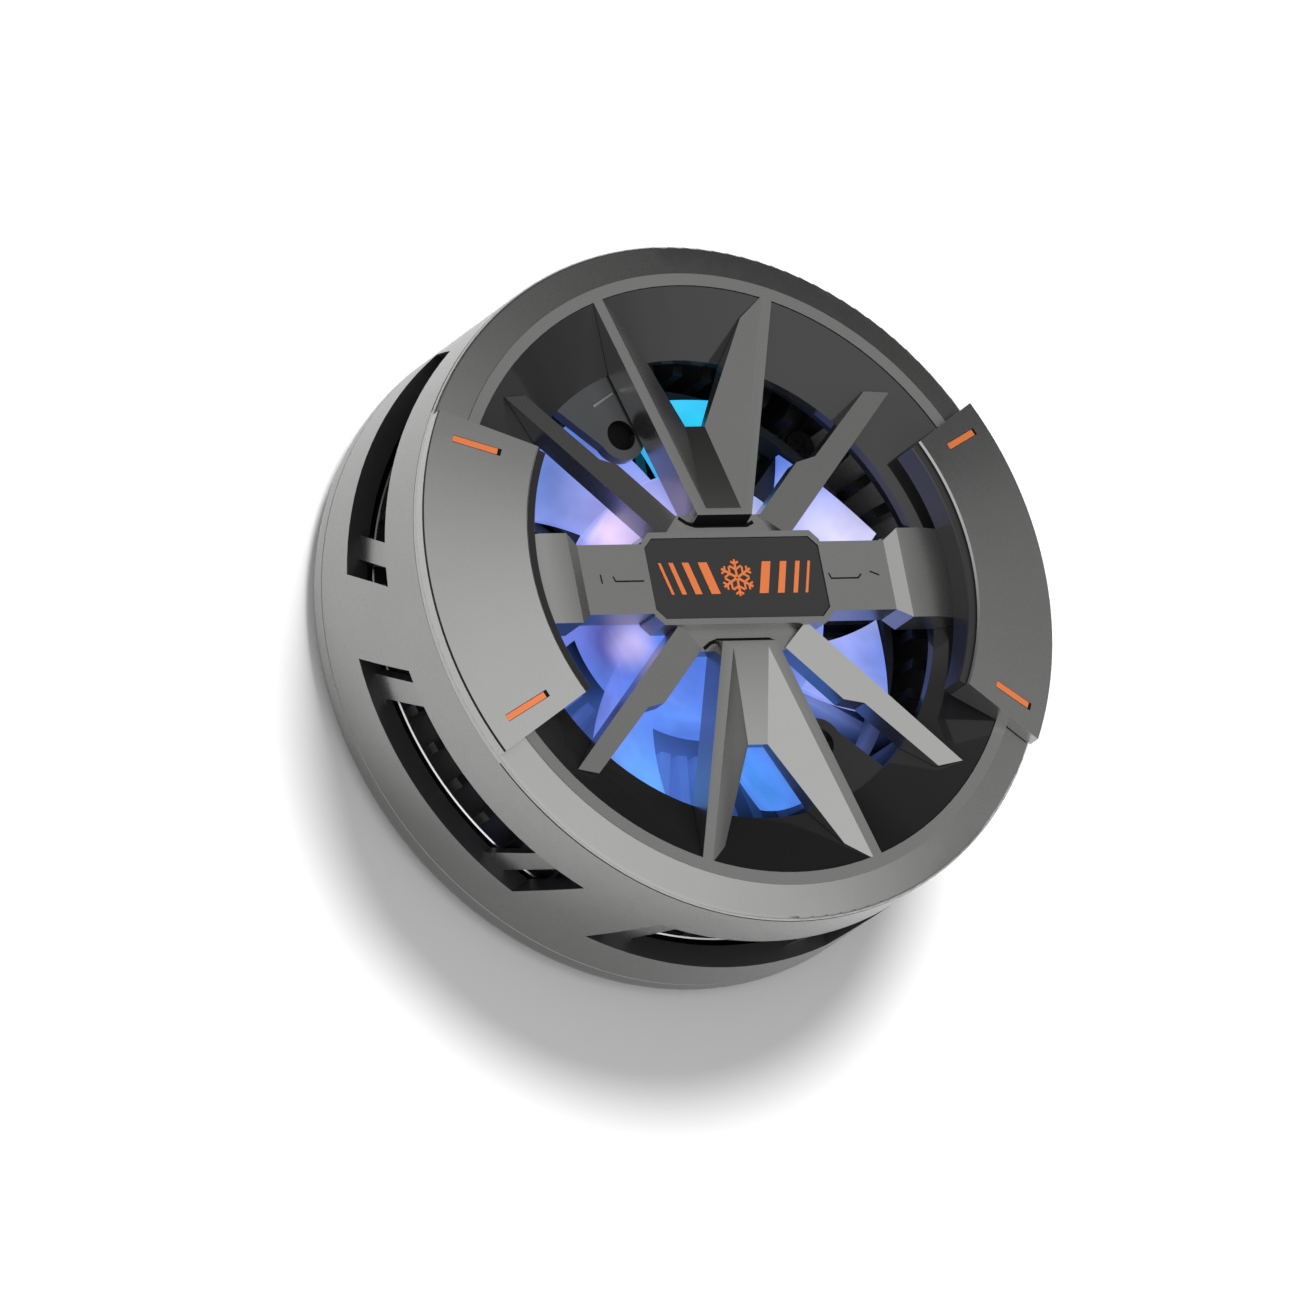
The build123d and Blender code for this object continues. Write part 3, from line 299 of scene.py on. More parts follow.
def makeStripeGroup():
    # thin level layers, as in wound wire or stacked sheets: a wave along Z
    group, start, end = newGroup(
        "layerStripes",
        [("Vector", "NodeSocketVector", None), ("Pitch", "NodeSocketFloat", 0.2)],
        [("Stripes", "NodeSocketFloat")],
    )
    scale = group.nodes.new("ShaderNodeMath")
    scale.operation = "DIVIDE"
    scale.inputs[0].default_value = 1 / mm / 3.1416  # about one wave to each pitch
    connect(group, start.outputs["Pitch"], scale.inputs[1])
    wave = group.nodes.new("ShaderNodeTexWave")
    wave.bands_direction = "Z"
    connect(group, start.outputs["Vector"], wave.inputs["Vector"])
    connect(group, scale.outputs["Value"], wave.inputs["Scale"])
    connect(group, wave.outputs["Fac"], end.inputs["Stripes"])
    return group


def makeGlowGroup():
    # one soft patch of light: 1 in its middle, 0 past its radius
    group, start, end = newGroup(
        "glowPatch",
        [
            ("Vector", "NodeSocketVector", None),
            ("Middle", "NodeSocketVector", None),
            ("Radius", "NodeSocketFloat", 10.0),
        ],
        [("Mask", "NodeSocketFloat")],
    )
    middle = group.nodes.new("ShaderNodeVectorMath")
    middle.operation = "SCALE"
    middle.inputs["Scale"].default_value = mm
    connect(group, start.outputs["Middle"], middle.inputs[0])
    away = group.nodes.new("ShaderNodeVectorMath")
    away.operation = "DISTANCE"
    connect(group, start.outputs["Vector"], away.inputs[0])
    connect(group, middle.outputs["Vector"], away.inputs[1])
    radius = group.nodes.new("ShaderNodeMath")
    radius.operation = "MULTIPLY"
    connect(group, start.outputs["Radius"], radius.inputs[0])
    radius.inputs[1].default_value = mm
    fade = group.nodes.new("ShaderNodeMapRange")
    fade.interpolation_type = "SMOOTHSTEP"
    connect(group, away.outputs["Value"], fade.inputs["Value"])
    connect(group, radius.outputs["Value"], fade.inputs["From Max"])
    fade.inputs["To Min"].default_value = 1
    fade.inputs["To Max"].default_value = 0
    connect(group, fade.outputs["Result"], end.inputs["Mask"])
    return group


grainGroup = makeGrainGroup()
turnedGroup = makeTurnedGroup()
stripeGroup = makeStripeGroup()
glowGroup = makeGlowGroup()
print("shader groups ready")


# finishes
def startFinish(name):
    mat = bpy.data.materials.new(name)
    mat.use_nodes = True
    tree = mat.node_tree
    coord = tree.nodes.new("ShaderNodeTexCoord")
    return mat, tree, tree.nodes["Principled BSDF"], coord.outputs["Object"]


def useGroup(tree, group, vector, values):
    node = tree.nodes.new("ShaderNodeGroup")
    node.node_tree = group
    connect(tree, vector, node.inputs["Vector"])
    for label, value in values.items():
        node.inputs[label].default_value = value
    return node


def rangeOf(tree, source, low, high, fromLow=0.3, fromHigh=0.7):
    node = tree.nodes.new("ShaderNodeMapRange")
    connect(tree, source, node.inputs["Value"])
    node.inputs["From Min"].default_value = fromLow
    node.inputs["From Max"].default_value = fromHigh
    node.inputs["To Min"].default_value = low
    node.inputs["To Max"].default_value = high
    return node.outputs["Result"]


def blendColours(tree, mask, first, second):
    node = tree.nodes.new("ShaderNodeMix")
    node.data_type = "RGBA"
    connect(tree, mask, node.inputs["Factor"])
    for label, colour in (("A", first), ("B", second)):
        if isinstance(colour, tuple):
            node.inputs[label].default_value = (*colour, 1)
        else:
            connect(tree, colour, node.inputs[label])
    return node.outputs["Result"]


def addBump(tree, paint, height, strength, depth):
    bump = tree.nodes.new("ShaderNodeBump")
    bump.inputs["Strength"].default_value = strength
    bump.inputs["Distance"].default_value = depth * mm
    connect(tree, height, bump.inputs["Height"])
    connect(tree, bump.outputs["Normal"], paint.inputs["Normal"])


def makeFinish(name, v):
    # colour drifts between two shades with the clouds, roughness and bump follow the pattern
    mat, tree, paint, place = startFinish(name)
    grain = useGroup(tree, grainGroup, place, {"Grain Size": v.get("grain", 0.15), "Cloud Size": cloudSize})
    pattern = grain.outputs["Grain"]
    if "rings" in v:
        pattern = useGroup(tree, turnedGroup, place, {"Ring Width": v["rings"]}).outputs["Rings"]
    if "stripes" in v:
        pattern = useGroup(tree, stripeGroup, place, {"Pitch": v["stripes"]}).outputs["Stripes"]
    colour = blendColours(tree, grain.outputs["Clouds"], v["shade"], v["tint"])
    connect(tree, colour, paint.inputs["Base Color"])
    connect(tree, rangeOf(tree, pattern, *v["rough"]), paint.inputs["Roughness"])
    paint.inputs["Metallic"].default_value = v.get("metal", 0.0)
    paint.inputs["Specular IOR Level"].default_value = v.get("specular", 0.5)
    addBump(tree, paint, pattern, v.get("bump", 0.2), v.get("depth", 0.01))
    return mat


cloudSize = 9.0  # mm, the slow drift of every finish
satinMetal = dict(metal=0.95, rough=(0.27, 0.3), grain=0.1, bump=0.01, depth=0.004)
finishes = dict(
    gunmetal=dict(shade=(0.335, 0.335, 0.33), tint=(0.365, 0.365, 0.36), **satinMetal),
    wingGrey=dict(shade=(0.34, 0.34, 0.335), tint=(0.37, 0.37, 0.365), **satinMetal),
    # painted shade: a darker copy of the satin metal for the drum and back cover, standing in for the darker
    # reflections on the drum's side
    shadedDrumGrey=dict(shade=(0.25, 0.25, 0.246), tint=(0.275, 0.275, 0.271), **satinMetal),
    screwBlack=dict(
        shade=(0.02, 0.02, 0.022), tint=(0.035, 0.035, 0.037),
        metal=0.6, rough=(0.3, 0.4), grain=0.2,
    ),
    # painted shade: a darker copy of the satin metal, for the upper rib's floor between its legs
    webShade=dict(shade=(0.10, 0.10, 0.095), tint=(0.13, 0.13, 0.125), **satinMetal),
    # painted shade: black of the dark lip inside the left wing
    lipShadeBlack=dict(shade=(0.010, 0.010, 0.010), tint=(0.014, 0.014, 0.014), rough=(0.3, 0.4), grain=0.3),
    earGrey=dict(
        shade=(0.115, 0.12, 0.125), tint=(0.145, 0.15, 0.155),
        metal=0.9, rough=(0.3, 0.4), grain=0.2,
    ),
    # painted shade: dark grey on walls that face inwards, inside the wings, the vents and the shell
    innerWallShade=dict(
        shade=(0.05, 0.05, 0.05), tint=(0.065, 0.065, 0.065),
        metal=0.6, rough=(0.3, 0.42), grain=0.2,
    ),
    # painted shade: black laid in the seam's gap, on the rib roots' ends, in the ear's hole, at the slots'
    # open ends, in the arms' cut marks and at the ribs' roots
    paintedShadeBlack=dict(
        shade=(0.004, 0.004, 0.004), tint=(0.007, 0.007, 0.007),
        rough=(0.5, 0.6), grain=0.2, specular=0.1,
    ),
    brightEdge=dict(
        shade=(0.66, 0.67, 0.68), tint=(0.74, 0.75, 0.76),
        metal=1.0, rough=(0.2, 0.3), grain=0.1, bump=0.1,
    ),
    contactGold=dict(
        shade=(0.75, 0.52, 0.2), tint=(0.82, 0.6, 0.26),
        metal=1.0, rough=(0.2, 0.3), grain=0.1,
    ),
    badgeBlack=dict(
        shade=(0.026, 0.026, 0.027), tint=(0.034, 0.034, 0.035),
        rough=(0.4, 0.5), grain=0.1, bump=0.25,
    ),
    accentOrange=dict(shade=(0.96, 0.235, 0.06), tint=(1.0, 0.265, 0.075), rough=(0.35, 0.42), grain=0.2),
    funnelBlack=dict(
        shade=(0.018, 0.018, 0.018), tint=(0.024, 0.024, 0.024),
        rough=(0.05, 0.08), grain=0.5, bump=0.01,
    ),
    padSilicone=dict(
        shade=(0.045, 0.045, 0.048), tint=(0.06, 0.06, 0.063),
        rough=(0.6, 0.75), rings=0.5, bump=0.4, depth=0.03,
    ),
    plateAluminium=dict(
        shade=(0.62, 0.63, 0.65), tint=(0.7, 0.71, 0.73),
        metal=1.0, rough=(0.2, 0.38), rings=0.12, bump=0.25,
    ),
    ceramicWhite=dict(shade=(0.78, 0.78, 0.76), tint=(0.85, 0.85, 0.82), rough=(0.5, 0.6)),
    pelletGrey=dict(shade=(0.2, 0.2, 0.21), tint=(0.3, 0.3, 0.32), metal=0.8, rough=(0.4, 0.6)),
    thermalGrey=dict(shade=(0.38, 0.42, 0.46), tint=(0.45, 0.5, 0.54), rough=(0.7, 0.85)),
    foamBlack=dict(
        shade=(0.02, 0.02, 0.02), tint=(0.04, 0.04, 0.04),
        rough=(0.85, 0.95), grain=0.4, bump=0.8, depth=0.1,
    ),
    nickel=dict(shade=(0.6, 0.58, 0.54), tint=(0.68, 0.66, 0.62), metal=1.0, rough=(0.15, 0.25)),
    steel=dict(shade=(0.5, 0.5, 0.51), tint=(0.58, 0.58, 0.59), metal=1.0, rough=(0.25, 0.35)),
    turnedSteel=dict(
        shade=(0.5, 0.5, 0.51), tint=(0.58, 0.58, 0.59),
        metal=1.0, rough=(0.22, 0.36), rings=0.15,
    ),
    bronze=dict(shade=(0.5, 0.33, 0.14), tint=(0.6, 0.4, 0.18), metal=1.0, rough=(0.3, 0.4)),
    coreSteel=dict(
        shade=(0.28, 0.28, 0.29), tint=(0.36, 0.36, 0.37),
        metal=1.0, rough=(0.35, 0.55), stripes=0.35, bump=0.6,
    ),
    copper=dict(
        shade=(0.6, 0.24, 0.1), tint=(0.72, 0.32, 0.15),
        metal=1.0, rough=(0.25, 0.5), stripes=0.16, bump=0.8,
    ),
    boardBlack=dict(shade=(0.008, 0.010, 0.010), tint=(0.014, 0.017, 0.016), rough=(0.3, 0.4), grain=0.6),
    boardGreen=dict(shade=(0.012, 0.07, 0.03), tint=(0.02, 0.11, 0.05), rough=(0.3, 0.4), grain=0.6),
    magnetDark=dict(shade=(0.04, 0.04, 0.042), tint=(0.07, 0.07, 0.072), metal=0.5, rough=(0.5, 0.6)),
    tongueBlack=dict(shade=(0.015, 0.015, 0.016), tint=(0.025, 0.025, 0.026), rough=(0.4, 0.5)),
)
mats = {name: makeFinish(name, v) for name, v in finishes.items()}

# light from the coloured chips: patches of colour laid over blue,
# and where it falls on what lies below the fan
glow = dict(
    base=(0.10, 0.22, 0.82),
    patches=[
        dict(middle=(-17, 0, 16), radius=12, colour=(0.21, 0.22, 0.68)),
        dict(middle=(-13, -12, 16), radius=8, colour=(0.15, 0.20, 0.66)),
        dict(middle=(-8, -17, 16), radius=9, colour=(0.13, 0.40, 1.0)),
        dict(middle=(3, -18, 16), radius=9, colour=(0.06, 0.27, 0.84)),
        dict(middle=(14, -9, 16), radius=11, colour=(0.36, 0.42, 0.90)),
        dict(middle=(17, 5, 16), radius=13, colour=(0.74, 0.70, 0.98)),
        dict(middle=(3, 18, 16), radius=12, colour=(0.0, 0.60, 0.90)),
        dict(middle=(-12, 12, 16), radius=9, colour=(0.16, 0.24, 0.60)),
        dict(middle=(-6, 7, 18), radius=11, colour=(0.52, 0.46, 0.86)),
        # a darker patch: painted shade in a gap between blades
        dict(middle=(-12, -4, 17), radius=5, colour=(0.09, 0.09, 0.38)),
        # the next three, whiter: painted highlights on the hub and its rim
        dict(middle=(-9.6, -4.6, 18.2), radius=3.4, colour=(0.62, 0.54, 1.0)),
        dict(middle=(-9.5, 6.4, 18.2), radius=4.5, colour=(0.80, 0.62, 0.94)),
        dict(middle=(4, 8, 18), radius=7, colour=(0.70, 0.68, 0.92)),
        dict(middle=(-16, 9, 15), radius=5, colour=(0.34, 0.42, 0.95)),
    ],
    spill=[
        dict(middle=(-6, -15, 12), radius=14),
        dict(middle=(11, -11, 12), radius=11),
        dict(middle=(-16, -5, 12), radius=9),
    ],
    clouds=(4.5, 0.78, 1.12),  # size in mm, least and greatest share of the light
)
glowFinishes = dict(
    fanGlow=dict(
        shade=(0.04, 0.05, 0.10), tint=(0.05, 0.06, 0.12),
        rough=(0.25, 0.35), specular=0.25, strength=1.0, allOver=True,
    ),
    lampWhite=dict(
        shade=(0.8, 0.85, 0.9), tint=(0.85, 0.9, 0.95),
        rough=(0.2, 0.3), strength=3.0, allOver=True,
    ),
    litSink=dict(
        shade=(0.10, 0.10, 0.10), tint=(0.14, 0.14, 0.14),
        metal=1.0, rough=(0.35, 0.5), grain=0.3, strength=0.85, allOver=False,
    ),
    litFrame=dict(
        shade=(0.02, 0.02, 0.022), tint=(0.03, 0.03, 0.032),
        rough=(0.4, 0.5), strength=0.6, allOver=False,
    ),
)


def addGlow(mat, v):
    # emission: the patches' colours, times the spill where the piece is only lit by the chips
    tree = mat.node_tree
    paint = tree.nodes["Principled BSDF"]
    place = tree.nodes["Texture Coordinate"].outputs["Object"]
    colour = glow["base"]
    for patch in glow["patches"]:
        mask = useGroup(tree, glowGroup, place, {"Middle": patch["middle"], "Radius": patch["radius"]})
        colour = blendColours(tree, mask.outputs["Mask"], colour, patch["colour"])
    if not v["allOver"]:
        dark = (0.0, 0.0, 0.0)
        for patch in glow["spill"]:
            mask = useGroup(tree, glowGroup, place, {"Middle": patch["middle"], "Radius": patch["radius"]})
            dark = blendColours(tree, mask.outputs["Mask"], dark, colour)
        colour = dark
    size, low, high = glow["clouds"]
    clouds = useGroup(tree, grainGroup, place, {"Grain Size": size, "Cloud Size": cloudSize})
    uneven = tree.nodes.new("ShaderNodeMix")
    uneven.data_type = "RGBA"
    uneven.blend_type = "MULTIPLY"
    uneven.inputs["Factor"].default_value = 1
    connect(tree, colour, uneven.inputs["A"])
    connect(tree, rangeOf(tree, clouds.outputs["Grain"], low, high), uneven.inputs["B"])
    connect(tree, uneven.outputs["Result"], paint.inputs["Emission Color"])
    paint.inputs["Emission Strength"].default_value = v["strength"]
    return mat


for name, v in glowFinishes.items():
    mats[name] = addGlow(makeFinish(name, v), v)
print("finishes ready")

# what each CAD node wears, also where a finished piece replaces it
nodeFinish = dict(
    badge_plate="badgeBlack", accent_inserts="accentOrange", back_screws="steel", holding_magnets="nickel",
    magnet_backing_ring="turnedSteel", peltier_cold_face="ceramicWhite", peltier_pellets="pelletGrey",
    peltier_hot_face="ceramicWhite", thermal_pad="thermalGrey", insulation_foam="foamBlack",
    heat_sink="litSink", fan_frame="litFrame", fan_screws="screwBlack", bearing_bush="bronze",
    motor_board="boardGreen", stator_core="coreSteel", stator_coils="copper", motor_shaft="turnedSteel",
    rotor_yoke="turnedSteel", rotor_magnet="magnetDark", impeller="fanGlow", control_board="boardBlack",
    light_chips="lampWhite", usb_socket="steel", usb_tongue="tongueBlack",
    front_cover="gunmetal", left_wing="wingGrey", right_wing="wingGrey", housing_shell="shadedDrumGrey",
    back_cover="shadedDrumGrey", back_pad="padSilicone", cold_plate="plateAluminium", air_guide="funnelBlack",
)
for nodeName, finishName in nodeFinish.items():
    nodes[nodeName].data.materials.clear()
    nodes[nodeName].data.materials.append(mats[finishName])


# moulded pieces: the CAD form with its edges broken
edgeValues = dict(
    merge=0.002,  # mm
    flat=0.005,  # radians, as the next three
    sharp=0.3,
    joined=0.4,
    joinedShape=3.1,
    segments=2,
)
moulded = dict(
    frontCover=dict(
        node="front_cover", finish="gunmetal", slot="gunmetal", edge=0.12,
        rounded=dict(reach=33.6, low=22.08, high=22.6),
    ),
    leftWing=dict(node="left_wing", finish="wingGrey", slot="wing_grey", edge=0.16, cuts=(23.72,)),
    rightWing=dict(node="right_wing", finish="wingGrey", slot="wing_grey", edge=0.16, cuts=(23.72,)),
    drumShell=dict(node="housing_shell", finish="shadedDrumGrey", slot="gunmetal", edge=0.08),
    backCover=dict(
        node="back_cover", finish="shadedDrumGrey", slot="gunmetal", edge=0.06,
        rounded=dict(reach=32.3, low=0.2, high=2.4),
    ),
    airFunnel=dict(node="air_guide", finish="funnelBlack", slot="funnel_black", edge=0.1),
    backPad=dict(node="back_pad", finish="padSilicone", slot="pad_silicone", edge=0.1),
    coldPlate=dict(node="cold_plate", finish="plateAluminium", slot="aluminium", edge=0.08),
)


def inBand(corner, band):
    # a corner of the CAD's own rounding, which is smooth already
    if band is None:
        return False
    place = corner.co / mm
    return np.hypot(place.x, place.y) > band["reach"] and band["low"] < place.z < band["high"]


def mergedCopy(name, v):
    work = bmesh.new()
    work.from_mesh(nodes[v["node"]].data)
    bmesh.ops.remove_doubles(work, verts=work.verts, dist=edgeValues["merge"] * mm)
    bmesh.ops.dissolve_limit(
        work, angle_limit=edgeValues["flat"], verts=work.verts, edges=work.edges,
        use_dissolve_boundaries=False,
    )
    band = v.get("rounded")
    patch = [face for face in work.faces if all(inBand(corner, band) for corner in face.verts)]
    bmesh.ops.join_triangles(
        work, faces=patch, angle_face_threshold=edgeValues["joined"],
        angle_shape_threshold=edgeValues["joinedShape"],
    )
    for height in v.get("cuts", ()):  # level edges that part two paints
        bmesh.ops.bisect_plane(
            work, geom=[*work.verts, *work.edges, *work.faces],
            plane_co=(0, 0, height * mm), plane_no=(0, 0, 1),
        )
    layers = work.edges.layers.float
    weight = layers.get("bevel_weight_edge") or layers.new("bevel_weight_edge")
    for edge in work.edges:  # the edges that get broken
        turns = edge.is_manifold and edge.calc_face_angle() > edgeValues["sharp"]
        sharp = turns and not all(inBand(corner, band) for corner in edge.verts)
        edge[weight] = float(sharp)
        edge.smooth = not sharp
    mesh = bpy.data.meshes.new(name)
    work.to_mesh(mesh)
    work.free()
    for spare in ("custom_normal", "sharp_face"):
        if spare in mesh.attributes:
            mesh.attributes.remove(mesh.attributes[spare])
    return mesh


def makeMoulded(name, v):
    piece = linkObject(name, mergedCopy(name, v))
    piece.data.materials.clear()
    piece.data.materials.append(mats[v["finish"]])
    edge = piece.modifiers.new("brokenEdges", "BEVEL")
    edge.width = v["edge"] * mm
    edge.segments = edgeValues["segments"]
    edge.limit_method = "WEIGHT"
    shading = piece.modifiers.new("largeFacesFirst", "WEIGHTED_NORMAL")
    shading.keep_sharp = True
    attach(piece, "housing")
    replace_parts(piece, v["node"])
    return piece


pieces = {name: makeMoulded(name, v) for name, v in moulded.items()}


# second paints: faces picked by where they are and which way they look; all but the ear's grey are painted
# shade
paints = dict(
    # seam: painted shadow in the seam's gap; recess: painted shade on the rib roots' ends; web: painted shade
    # on the upper rib's floor
    seam=dict(radius=33.6, top=22.12, sector=30.1),  # under the bevel, outside the wings' sectors
    recess=dict(start=5.0, end=6.6, halfWidth=3.1, inwards=0.9),  # rib roots' ends, towards the badge
    web=dict(low=6.3, halfWidth=2.4, slope=0.2, aside=0.05, reach=29.0),  # upper rib's floor between its legs
    # wing: painted shadow round the wing's outer top, painted shade on its inward walls; ventWall: painted
    # shade inside the vents
    wing=dict(low=23.7, radius=34.0, outward=0.8),
    ventWall=dict(radius=33.8, outward=0.8),
    # ear: its top grey, and its hole black as painted shade
    ear=dict(reach=22.95, level=0.9, hole=(-7.75, 15.89), holeRadius=1.62, face=20.1),
)


def faceTable(mesh):
    # of every face: centre in mm, normal, distance from the axis, how far it looks outwards, highest corner
    count = len(mesh.polygons)
    first, corner = np.empty(count, np.int32), np.empty(len(mesh.loops), np.int32)
    place = np.empty(len(mesh.vertices) * 3)
    mesh.polygons.foreach_get("loop_start", first)
    mesh.loops.foreach_get("vertex_index", corner)
    mesh.vertices.foreach_get("co", place)
    highest = np.maximum.reduceat(place.reshape(-1, 3)[corner, 2], first) / mm
    centre, normal = np.empty(count * 3), np.empty(count * 3)
    mesh.polygons.foreach_get("center", centre)
    mesh.polygons.foreach_get("normal", normal)
    centre, normal = centre.reshape(-1, 3) / mm, normal.reshape(-1, 3)
    radius = np.hypot(centre[:, 0], centre[:, 1])
    outward = (centre[:, :2] * normal[:, :2]).sum(axis=1) / np.maximum(radius, 0.001)
    return dict(centre=centre, normal=normal, radius=radius, outward=outward, highest=highest)


def paintFaces(piece, layers):
    # each layer is a finish and the faces that take it; later layers lie over earlier ones
    index = np.zeros(len(piece.data.polygons), np.int32)
    for finish, chosen in layers:
        piece.data.materials.append(mats[finish])
        index[chosen] = len(piece.data.materials) - 1
    piece.data.polygons.foreach_set("material_index", index)


def paintCover(seam, recess, web):
    # painted shade: black in the seam's gap under the bevel and on the rib roots' ends, darker on the upper
    # rib's floor between its legs
    face = faceTable(pieces["frontCover"].data)
    centre, normal, radius = face["centre"], face["normal"], face["radius"]
    aside, along = np.abs(centre[:, 0]), np.abs(centre[:, 1])
    turn = np.degrees(np.arctan2(along, aside))
    under = (radius > seam["radius"]) & (face["highest"] < seam["top"]) & (turn > seam["sector"])
    ends = -np.sign(centre[:, 1]) * normal[:, 1] > recess["inwards"]
    ends &= (along > recess["start"]) & (along < recess["end"]) & (aside < recess["halfWidth"])
    floor = (centre[:, 1] > web["low"]) & (aside < web["halfWidth"]) & (radius < web["reach"])
    floor &= (normal[:, 1] > web["slope"]) & (np.abs(normal[:, 0]) < web["aside"])
    paintFaces(pieces["frontCover"], [("webShade", floor), ("paintedShadeBlack", under | ends)])


def paintWing(name, wing):
    # painted shade: a black band round the wing's outer top over the gap to the cover, and darker walls that
    # face inwards
    face = faceTable(pieces[name].data)
    outer, inner = face["outward"] > wing["outward"], face["outward"] < -wing["outward"]
    band = (face["radius"] > wing["radius"]) & (face["centre"][:, 2] > wing["low"]) & outer
    paintFaces(pieces[name], [("paintedShadeBlack", band), ("innerWallShade", inner)])


def paintShell(wall):
    # painted shade: the vents' walls and the shell's inside go darker
    face = faceTable(pieces["drumShell"].data)
    inside = (face["radius"] < wall["radius"]) & (face["outward"] < wall["outward"])
    paintFaces(pieces["drumShell"], [("innerWallShade", inside)])


def paintFunnel(ear):
    face = faceTable(pieces["airFunnel"].data)
    centre = face["centre"]
    upper = (face["radius"] < ear["reach"]) & (face["normal"][:, 2] > ear["level"]) & (centre[:, 1] > 0)
    # painted shade: the ear's hole goes black
    away = np.hypot(centre[:, 0] - ear["hole"][0], centre[:, 1] - ear["hole"][1])
    hole = (away < ear["holeRadius"]) & (centre[:, 2] < ear["face"])
    paintFaces(pieces["airFunnel"], [("earGrey", upper), ("paintedShadeBlack", hole)])


paintCover(paints["seam"], paints["recess"], paints["web"])
paintWing("leftWing", paints["wing"])
paintWing("rightWing", paints["wing"])
paintShell(paints["ventWall"])
paintFunnel(paints["ear"])
print("moulded pieces ready")


# turned trims: dark lip inside each wing, a painted shade past the wings' inner edges, and the bright edge of
# the heat sink's plate;
# a profile is radius and height in mm, start and end are in degrees
turned = dict(
    leftShadeLip=dict(
        profile=[(23.4, 23.57), (23.4, 26.35), (23.5, 26.45), (24.4, 26.45), (24.4, 23.57)],
        start=150.0, end=210.0, steps=72, finish="lipShadeBlack", slot="wing_grey",
    ),
    rightShadeLip=dict(
        profile=[(23.5, 23.56), (23.5, 26.35), (23.6, 26.45), (24.4, 26.45), (24.4, 23.56)],
        start=-30.0, end=30.0, steps=72, finish="innerWallShade", slot="wing_grey",
    ),
    plateEdge=dict(
        profile=[(30.97, 8.28), (30.97, 8.42), (31.04, 8.42), (31.16, 8.3), (31.13, 8.24)],
        start=0.0, end=360.0, steps=240, finish="brightEdge", slot="sink_black",
    ),
)


def turnedMesh(name, v):
    # point (i, j): profile point j with radius r and height h, turned by angle a(i): (r cos a, r sin a, h)
    whole = v["end"] - v["start"] >= 360
    turn = np.radians(np.linspace(v["start"], v["end"], v["steps"], endpoint=not whole))
    profile = np.array(v["profile"])
    rings, corners = len(turn), len(profile)
    radius, height = profile[:, 0][None, :], profile[:, 1][None, :]
    turn = turn[:, None]
    points = np.stack([radius * np.cos(turn), radius * np.sin(turn), height + turn * 0], axis=-1)
    row, side = np.meshgrid(np.arange(rings if whole else rings - 1), np.arange(corners), indexing="ij")
    nextRow, nextSide = (row + 1) % rings, (side + 1) % corners
    here, there = row * corners, nextRow * corners
    quads = np.stack([here + side, here + nextSide, there + nextSide, there + side], axis=-1)
    faces = quads.reshape(-1, 4).tolist()
    if not whole:
        faces += [list(range(corners)), list(range(rings * corners - 1, (rings - 1) * corners - 1, -1))]
    mesh = bpy.data.meshes.new(name)
    mesh.from_pydata((points.reshape(-1, 3) * mm).tolist(), [], faces)
    return closedMesh(mesh)


def closedMesh(mesh):
    # faces turned outwards, smooth except across sharp edges
    work = bmesh.new()
    work.from_mesh(mesh)
    bmesh.ops.recalc_face_normals(work, faces=work.faces)
    work.to_mesh(mesh)
    work.free()
    mesh.shade_smooth()
    mesh.set_sharp_from_angle(angle=edgeValues["sharp"])
    return mesh


def addPiece(name, mesh, finish, edge=0.0):
    mesh.materials.append(mats[finish])
    piece = linkObject(name, mesh)
    if edge:
        soften = piece.modifiers.new("brokenEdges", "BEVEL")
        soften.width = edge * mm
        soften.segments = edgeValues["segments"]
        soften.limit_method = "ANGLE"
        soften.angle_limit = edgeValues["sharp"]
    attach(piece, "housing")
    return piece


for name, v in turned.items():
    addPiece(name, turnedMesh(name, v), v["finish"])

# accent bars: they lie on the wings' slope, each in a dark surround as long as its slot; the surround,
# showing at the slot's open end, is painted shade
accents = dict(
    angles=(-25.8, 25.8),
    start=27.6,
    length=4.6,
    openEnd=0.35,  # of the slot, on the +X side
    slopeTop=26.9,  # height of the slope's line at slopeRadius
    slopeRadius=24.35,
    slopeFall=0.28866,
    surround=dict(halfWidth=0.36, lift=0.012, depth=0.3),
    bar=dict(halfWidth=0.31, lift=0.05, depth=0.3),
)


def wingBars(name, v, size, trim):
    # corner (k, i, j, l): u along the radius, w across it, turned to angle a; height falls with u,
    # less the depth below
    angle = np.radians([lean + (0 if side > 0 else 180) for side in (1, -1) for lean in v["angles"]])
    side = np.array([1, 1, -1, -1])
    first = v["start"] + np.where(side < 0, trim, 0.0)
    last = v["start"] + v["length"] - np.where(side > 0, trim, 0.0)
    u = np.stack([first, last], axis=1)[:, :, None, None]
    w = np.array([-1, 1])[None, None, :, None] * size["halfWidth"]
    drop = np.array([size["depth"], 0.0])[None, None, None, :]
    u, w, drop = np.broadcast_arrays(u, w, drop)
    a = angle[:, None, None, None]
    top = v["slopeTop"] - v["slopeFall"] * (u - v["slopeRadius"]) + size["lift"]
    x, y = u * np.cos(a) - w * np.sin(a), u * np.sin(a) + w * np.cos(a)
    points = np.stack([x, y, top - drop], axis=-1).reshape(-1, 3)
    block = np.array([[0, 1, 3, 2], [4, 6, 7, 5], [0, 4, 5, 1], [2, 3, 7, 6], [0, 2, 6, 4], [1, 5, 7, 3]])
    faces = (block[None] + 8 * np.arange(len(angle))[:, None, None]).reshape(-1, 4)
    mesh = bpy.data.meshes.new(name)
    mesh.from_pydata((points * mm).tolist(), [], faces.tolist())
    return closedMesh(mesh)


